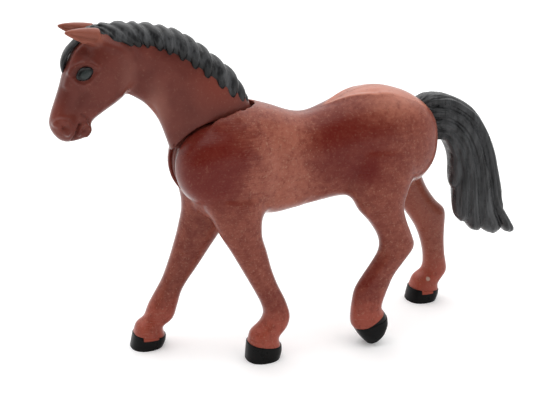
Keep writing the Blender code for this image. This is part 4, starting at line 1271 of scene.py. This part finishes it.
class HORSE_OT_body(bpy.types.Operator):
    """Make the two body shells with the four legs"""

    bl_idname = "toy_horse.body"
    bl_label = "Body and Legs"

    def execute(self, context):
        sizes, colours = context.scene.horse_sizes, context.scene.horse_colours
        mesh = bmesh.new()
        add_tube(mesh, trunk_rows())
        add_shoulders(mesh)
        for leg in LEGS.values():
            rows = leg_rows(leg, leg.shares, LEG_WIDTH)
            add_tube(mesh, rows + hoof_rows(leg)[1:2], sides=28)
        for x, y, z, half_width, radius in FILLINGS:
            add_ball(mesh, Vector((x, y, z)) / 1000, 2 * radius / 1000, (half_width / radius, 1))
        body = new_object("coat_body", mesh)
        remould(body, BODY_BLEND, 3)
        for place in SOFT_PLACES:
            soften_around(body, place, SOFT_STEPS)
        for space in slot_spaces():
            combine(body, space, "DIFFERENCE")
        remould(body, sizes.body_fineness, 5)
        draw_lines(body, BODY_LINES, millimetre_place)
        raise_back_ridge(body)
        for leg in LEGS.values():
            combine(body, below_coronet(leg), "DIFFERENCE")
        material = coat_material("coat_plastic", colours, sizes.body_roughness)
        seat_halves(body, "body", "body_shell", material)
        return {"FINISHED"}


class HORSE_OT_neck(bpy.types.Operator):
    """Make the two halves of head and neck"""

    bl_idname = "toy_horse.neck"
    bl_label = "Head and Neck"

    def execute(self, context):
        sizes, colours = context.scene.horse_sizes, context.scene.horse_colours
        mesh = bmesh.new()
        add_tube(mesh, neck_rows())
        add_tube(mesh, head_rows())
        add_ball(mesh, head_point(LIP_SHARES), LIP_LENGTH, LIP_SIZE_SHARES)
        for side, _ in SIDES:
            add_ear(mesh, side)
            nostril = head_point(NOSTRIL_SHARES, side * MUZZLE_WIDTH * NOSTRIL_OUT_SHARE)
            add_ball(mesh, nostril, NOSTRIL_LENGTH, NOSTRIL_SIZE_SHARES)
        neck = new_object("coat_neck", mesh)
        remould(neck, NECK_BLEND, 3)
        soften_around(neck, THROAT_CORNER, THROAT_STEPS)
        combine(neck, shoulder_shape(NECK_GAP), "DIFFERENCE")
        remould(neck, sizes.head_fineness, 4)
        draw_lines(neck, HEAD_LINES, head_place)
        inset = ROOT_INSET_SHARE * (THROAT_ANGLE - CROWN_ANGLE)
        root = ring_part(
            DISC_RADIUS / 2, SHOULDER_RADIUS + 2 * NECK_GAP, ROOT_WIDTH / 2 - FACE_STEP,
            CROWN_ANGLE + inset, THROAT_ANGLE - inset,
        )
        combine(neck, root, "UNION")
        combine(neck, across_pivot(ROOT_WIDTH / 2, 2 * DISC_RADIUS), "UNION")
        combine(neck, across_pivot(ROOT_WIDTH, PIN_DIAMETER), "DIFFERENCE")
        material = neck_material("neck_plastic", colours, sizes.neck_roughness)
        seat_halves(neck, "neck", "neck_half", material)
        return {"FINISHED"}


class HORSE_OT_eyes(bpy.types.Operator):
    """Make the two glossy eyes"""

    bl_idname = "toy_horse.eyes"
    bl_label = "Eyes"

    def execute(self, context):
        material = eye_material("eye_paint", context.scene.horse_colours)
        for side, name in SIDES:
            mesh = bmesh.new()
            bmesh.ops.create_uvsphere(mesh, u_segments=40, v_segments=24, radius=1)
            bmesh.ops.scale(mesh, vec=EYE_RADII, verts=mesh.verts)
            for vert in mesh.verts:
                vert.co.z *= 1 - EYE_CORNER_SHARE * (vert.co.x / EYE_RADII[0]) ** 2
            tilt = Matrix.Rotation(EYE_TILT, 4, "Y")
            centre = head_point(EYE_SHARES, side * HEAD_WIDTH * EYE_OUT_SHARE)
            bmesh.ops.transform(mesh, matrix=Matrix.Translation(centre) @ tilt, verts=mesh.verts)
            seat(new_object(f"eye_{name}", mesh), "neck", f"neck_half_{name}", material)
        return {"FINISHED"}


def shrunken(rows, inset, rise):
    """Sections with their half axes cut by an inset and their lower end raised by a share."""
    smaller = []
    for values in rows:
        middle, tall, wide = Vector(values[:3]), Vector(values[3:6]), Vector(values[6:])
        middle = middle + tall * rise
        tall = tall * max(1 - rise - inset / tall.length, 0.3)
        wide = wide * max(1 - inset / wide.length, 0.3)
        smaller.append((*middle, *tall, *wide))
    return smaller


def lock_rows(rows, lock, side):
    """Sections of one lock, from the crest down the mane's side and backwards."""
    start, slant, reach, width_share, thickness_share = lock
    sections = []
    for down, width, thickness in LOCK_STATIONS:
        place = (start + slant * down) * (len(rows) - 1)
        here = between(rows, place)
        ahead = between(rows, place + 0.1)
        angle = down * LOCK_REACH * reach
        middle, tall, wide = Vector(here[:3]), Vector(here[3:6]), Vector(here[6:])
        up, aside = math.cos(angle), math.sin(angle)
        along = (Vector(ahead[:3]) - middle).normalized()
        outward = (tall.normalized() * up + wide.normalized() * aside * side).normalized()
        centre = middle + tall * up + wide * aside * side - outward * LOCK_INSET
        sections.append((
            *centre, *along * width * width_share * LOCK_WIDTH / 2,
            *outward * thickness * thickness_share * LOCK_THICKNESS / 2,
        ))
    return sections


def carve_lines(item, rows, count, depth, seed):
    """Press fine lines into hair, along its rows of sections."""
    places, normals = corners_of(item)
    steps = 12 * (len(rows) - 1)
    stations = np.array([between(rows, (len(rows) - 1) * k / steps) for k in range(steps + 1)])
    middles, talls = stations[:, :3], stations[:, 3:6]
    length = np.sqrt((talls ** 2).sum(1))
    nearest = np.zeros(len(places), int)
    best = np.full(len(places), 1e9)
    tangents = np.gradient(middles, axis=0)
    tangents /= np.sqrt((tangents ** 2).sum(1))[:, None]
    for k in range(steps + 1):
        away = places - middles[k]
        measure = np.abs(away @ tangents[k]) + 0.15 * np.sqrt((away ** 2).sum(1))
        nearest[measure < best] = k
        best = np.minimum(best, measure)
    away = places - middles[nearest]
    across = (away * talls[nearest]).sum(1) / length[nearest] ** 2
    along = nearest / steps
    wave = np.zeros(len(places))
    random = np.random.default_rng(seed)
    for share in (1.0, 1.7, 2.9):
        phase = random.uniform(0, math.tau)
        drift = random.uniform(-1.2, 1.2)
        wave += np.abs(np.sin(count * share * across + phase + drift * along * 4)) / share
    move_corners(item, places - normals * (depth * (1 - wave / 1.9))[:, None])


class HORSE_OT_mane(bpy.types.Operator):
    """Make the mane and the forelock"""

    bl_idname = "toy_horse.mane"
    bl_label = "Mane and Forelock"

    def execute(self, context):
        sizes = context.scene.horse_sizes
        mesh = bmesh.new()
        rows = mane_rows()
        add_tube(mesh, shrunken(rows, *MANE_BASE), sides=28)
        for side, _ in SIDES:
            for lock in LOCKS:
                add_tube(mesh, lock_rows(rows, lock, side), sides=16)
        mane = new_object("mane_hair", mesh)
        remould(mane, sizes.hair_fineness, 2)
        material = hair_material("mane_plastic", context.scene.horse_colours, CREST)
        seat(mane, "neck", "mane", material, "mane")
        return {"FINISHED"}


class HORSE_OT_tail(bpy.types.Operator):
    """Make the tail with its strands"""

    bl_idname = "toy_horse.tail"
    bl_label = "Tail"

    def execute(self, context):
        sizes = context.scene.horse_sizes
        mesh = bmesh.new()
        rows = tail_rows()
        for middle, breadth, end, thickness in STRAND_SHARES:
            strand = []
            for along, size in STRAND_TAPER_SHARES:
                here = between(rows, along * end * (len(rows) - 1))
                centre, tall, wide = Vector(here[:3]), Vector(here[3:6]), Vector(here[6:])
                centre += tall * (2 * middle - 1)
                strand.append((*centre, *tall * breadth * size, *wide * thickness * size))
            add_tube(mesh, strand, sides=24)
        tail = new_object("tail_hair", mesh)
        remould(tail, sizes.hair_fineness, 2)
        carve_lines(tail, rows, *TAIL_LINES)
        material = hair_material("tail_plastic", context.scene.horse_colours)
        seat(tail, "body", "tail", material, "tail")
        return {"FINISHED"}


class HORSE_OT_hooves(bpy.types.Operator):
    """Make the four hooves"""

    bl_idname = "toy_horse.hooves"
    bl_label = "Hooves"

    def execute(self, context):
        for name, leg in LEGS.items():
            mesh = bmesh.new()
            add_tube(mesh, hoof_rows(leg), sides=64, steps=8)
            hoof = new_object(f"horn_{name}", mesh)
            remould(hoof, HOOF_FINENESS, 2)
            node = f"hoof_{name}"
            colours = context.scene.horse_colours
            material = hoof_material(f"{node}_plastic", colours, TONGUES.get(name))
            seat(hoof, "body", node, material, node)
        return {"FINISHED"}


class HORSE_OT_pin(bpy.types.Operator):
    """Give the pivot pin its plastic"""

    bl_idname = "toy_horse.pin"
    bl_label = "Pivot Pin"

    def execute(self, context):
        paint = Paint("pin_plastic", Specular_IOR_Level=0.5)
        cloud = paint.noise(paint.place(), 500, 3, 0.5)
        colour = paint.mix(cloud, (0.27, 0.27, 0.28, 1), (0.33, 0.33, 0.34, 1))
        material = paint.use(Base_Color=colour, Roughness=0.35 + cloud * 0.15)
        frame["nodes"]["neck_pivot_pin"].data.materials.clear()
        frame["nodes"]["neck_pivot_pin"].data.materials.append(material)
        return {"FINISHED"}


class HORSE_OT_stage(bpy.types.Operator):
    """Lay the floor, light the horse and set up the camera"""

    bl_idname = "toy_horse.stage"
    bl_label = "Floor, Lights and Camera"

    def execute(self, context):
        stage = context.scene.horse_stage
        scene = context.scene
        scene.view_settings.view_transform = "Standard"
        mesh = bmesh.new()
        bmesh.ops.create_circle(mesh, cap_ends=True, segments=96, radius=4)
        floor = new_object("floor", mesh)
        paper = Paint("floor_paper", Roughness=0.9, Specular_IOR_Level=0.1)
        tooth = paper.noise(paper.place(), 60, 3, 0.5)
        white = paper.mix(tooth, (0.93, 0.93, 0.93, 1), (0.95, 0.95, 0.95, 1))
        seen = paper.node("ShaderNodeLightPath", output="Is Camera Ray")
        floor.data.materials.append(paper.use(
            Base_Color=white,
            Emission_Color=paper.mix(seen, (0, 0, 0, 1), (0.16, 0.16, 0.16, 1)),
            Emission_Strength=1.0,
        ))

        target = Vector(stage.target) + TO_FRAME
        back = Vector((
            math.sin(stage.azimuth) * math.cos(stage.elevation),
            -math.cos(stage.azimuth) * math.cos(stage.elevation),
            math.sin(stage.elevation),
        ))
        world = bpy.data.worlds.new("tent")
        world.use_nodes = True
        scene.world = world
        tent = Nodes(world.node_tree)
        towards = tent.node(
            "ShaderNodeVectorMath", {"operation": "DOT_PRODUCT"},
            {
                0: tent.node("ShaderNodeTexCoord", output="Generated"),
                1: Vector((back.x, back.y, 0.15)).normalized(),
            },
            output="Value",
        )
        share = tent.node("ShaderNodeMapRange", {"interpolation_type": "SMOOTHSTEP"}, {
            "Value": towards, "From Min": 0.25, "From Max": 0.95,
            "To Min": stage.surround, "To Max": stage.front,
        })
        background = tent.tree.nodes["Background"]
        tent.feed(background.inputs["Color"], (1, 1, 1, 1))
        tent.feed(background.inputs["Strength"], share)

        sun = bpy.data.lights.new("top_light", "SUN")
        sun.energy = stage.key
        sun.angle = math.radians(100)
        lamp = bpy.data.objects.new("top_light", sun)
        lamp.rotation_euler = (math.radians(-14), math.radians(8), 0)
        scene.collection.objects.link(lamp)

        lens = bpy.data.cameras.new("camera")
        lens.lens = stage.lens
        lens.sensor_width = 36
        lens.clip_start = 0.005
        camera = bpy.data.objects.new("camera", lens)
        camera.location = target + back * stage.distance
        camera.rotation_euler = back.to_track_quat("Z", "Y").to_euler()
        scene.collection.objects.link(camera)
        scene.camera = camera
        return {"FINISHED"}


class HORSE_PT_panel(bpy.types.Panel):
    """Lists the steps and the sizes and colours that they use"""

    bl_idname = "HORSE_PT_panel"
    bl_label = "Toy Horse"
    bl_space_type = "VIEW_3D"
    bl_region_type = "UI"
    bl_category = "Toy Horse"

    def draw(self, context):
        layout = self.layout
        for step in STEPS:
            layout.operator(step.bl_idname)
        for group, properties in GROUPS.items():
            box = layout.box()
            for name in properties.__annotations__:
                box.prop(getattr(context.scene, group), name)


STEPS = (
    HORSE_OT_body, HORSE_OT_neck, HORSE_OT_eyes, HORSE_OT_mane, HORSE_OT_tail,
    HORSE_OT_hooves, HORSE_OT_pin, HORSE_OT_stage,
)
GROUPS = {
    "horse_sizes": HorseSizes, "horse_colours": HorseColours, "horse_stage": HorseStage,
}


CLASSES = (*GROUPS.values(), *STEPS, HORSE_PT_panel)


def register():
    for item in CLASSES:
        bpy.utils.register_class(item)
    for name, group in GROUPS.items():
        setattr(bpy.types.Scene, name, bpy.props.PointerProperty(type=group))


def unregister():
    for name in GROUPS:
        delattr(bpy.types.Scene, name)
    for item in reversed(CLASSES):
        bpy.utils.unregister_class(item)


def main():
    register()
    bpy.ops.toy_horse.body()
    bpy.ops.toy_horse.neck()
    bpy.ops.toy_horse.eyes()
    bpy.ops.toy_horse.mane()
    bpy.ops.toy_horse.tail()
    bpy.ops.toy_horse.hooves()
    bpy.ops.toy_horse.pin()
    bpy.ops.toy_horse.stage()


if __name__ == "__main__":
    main()
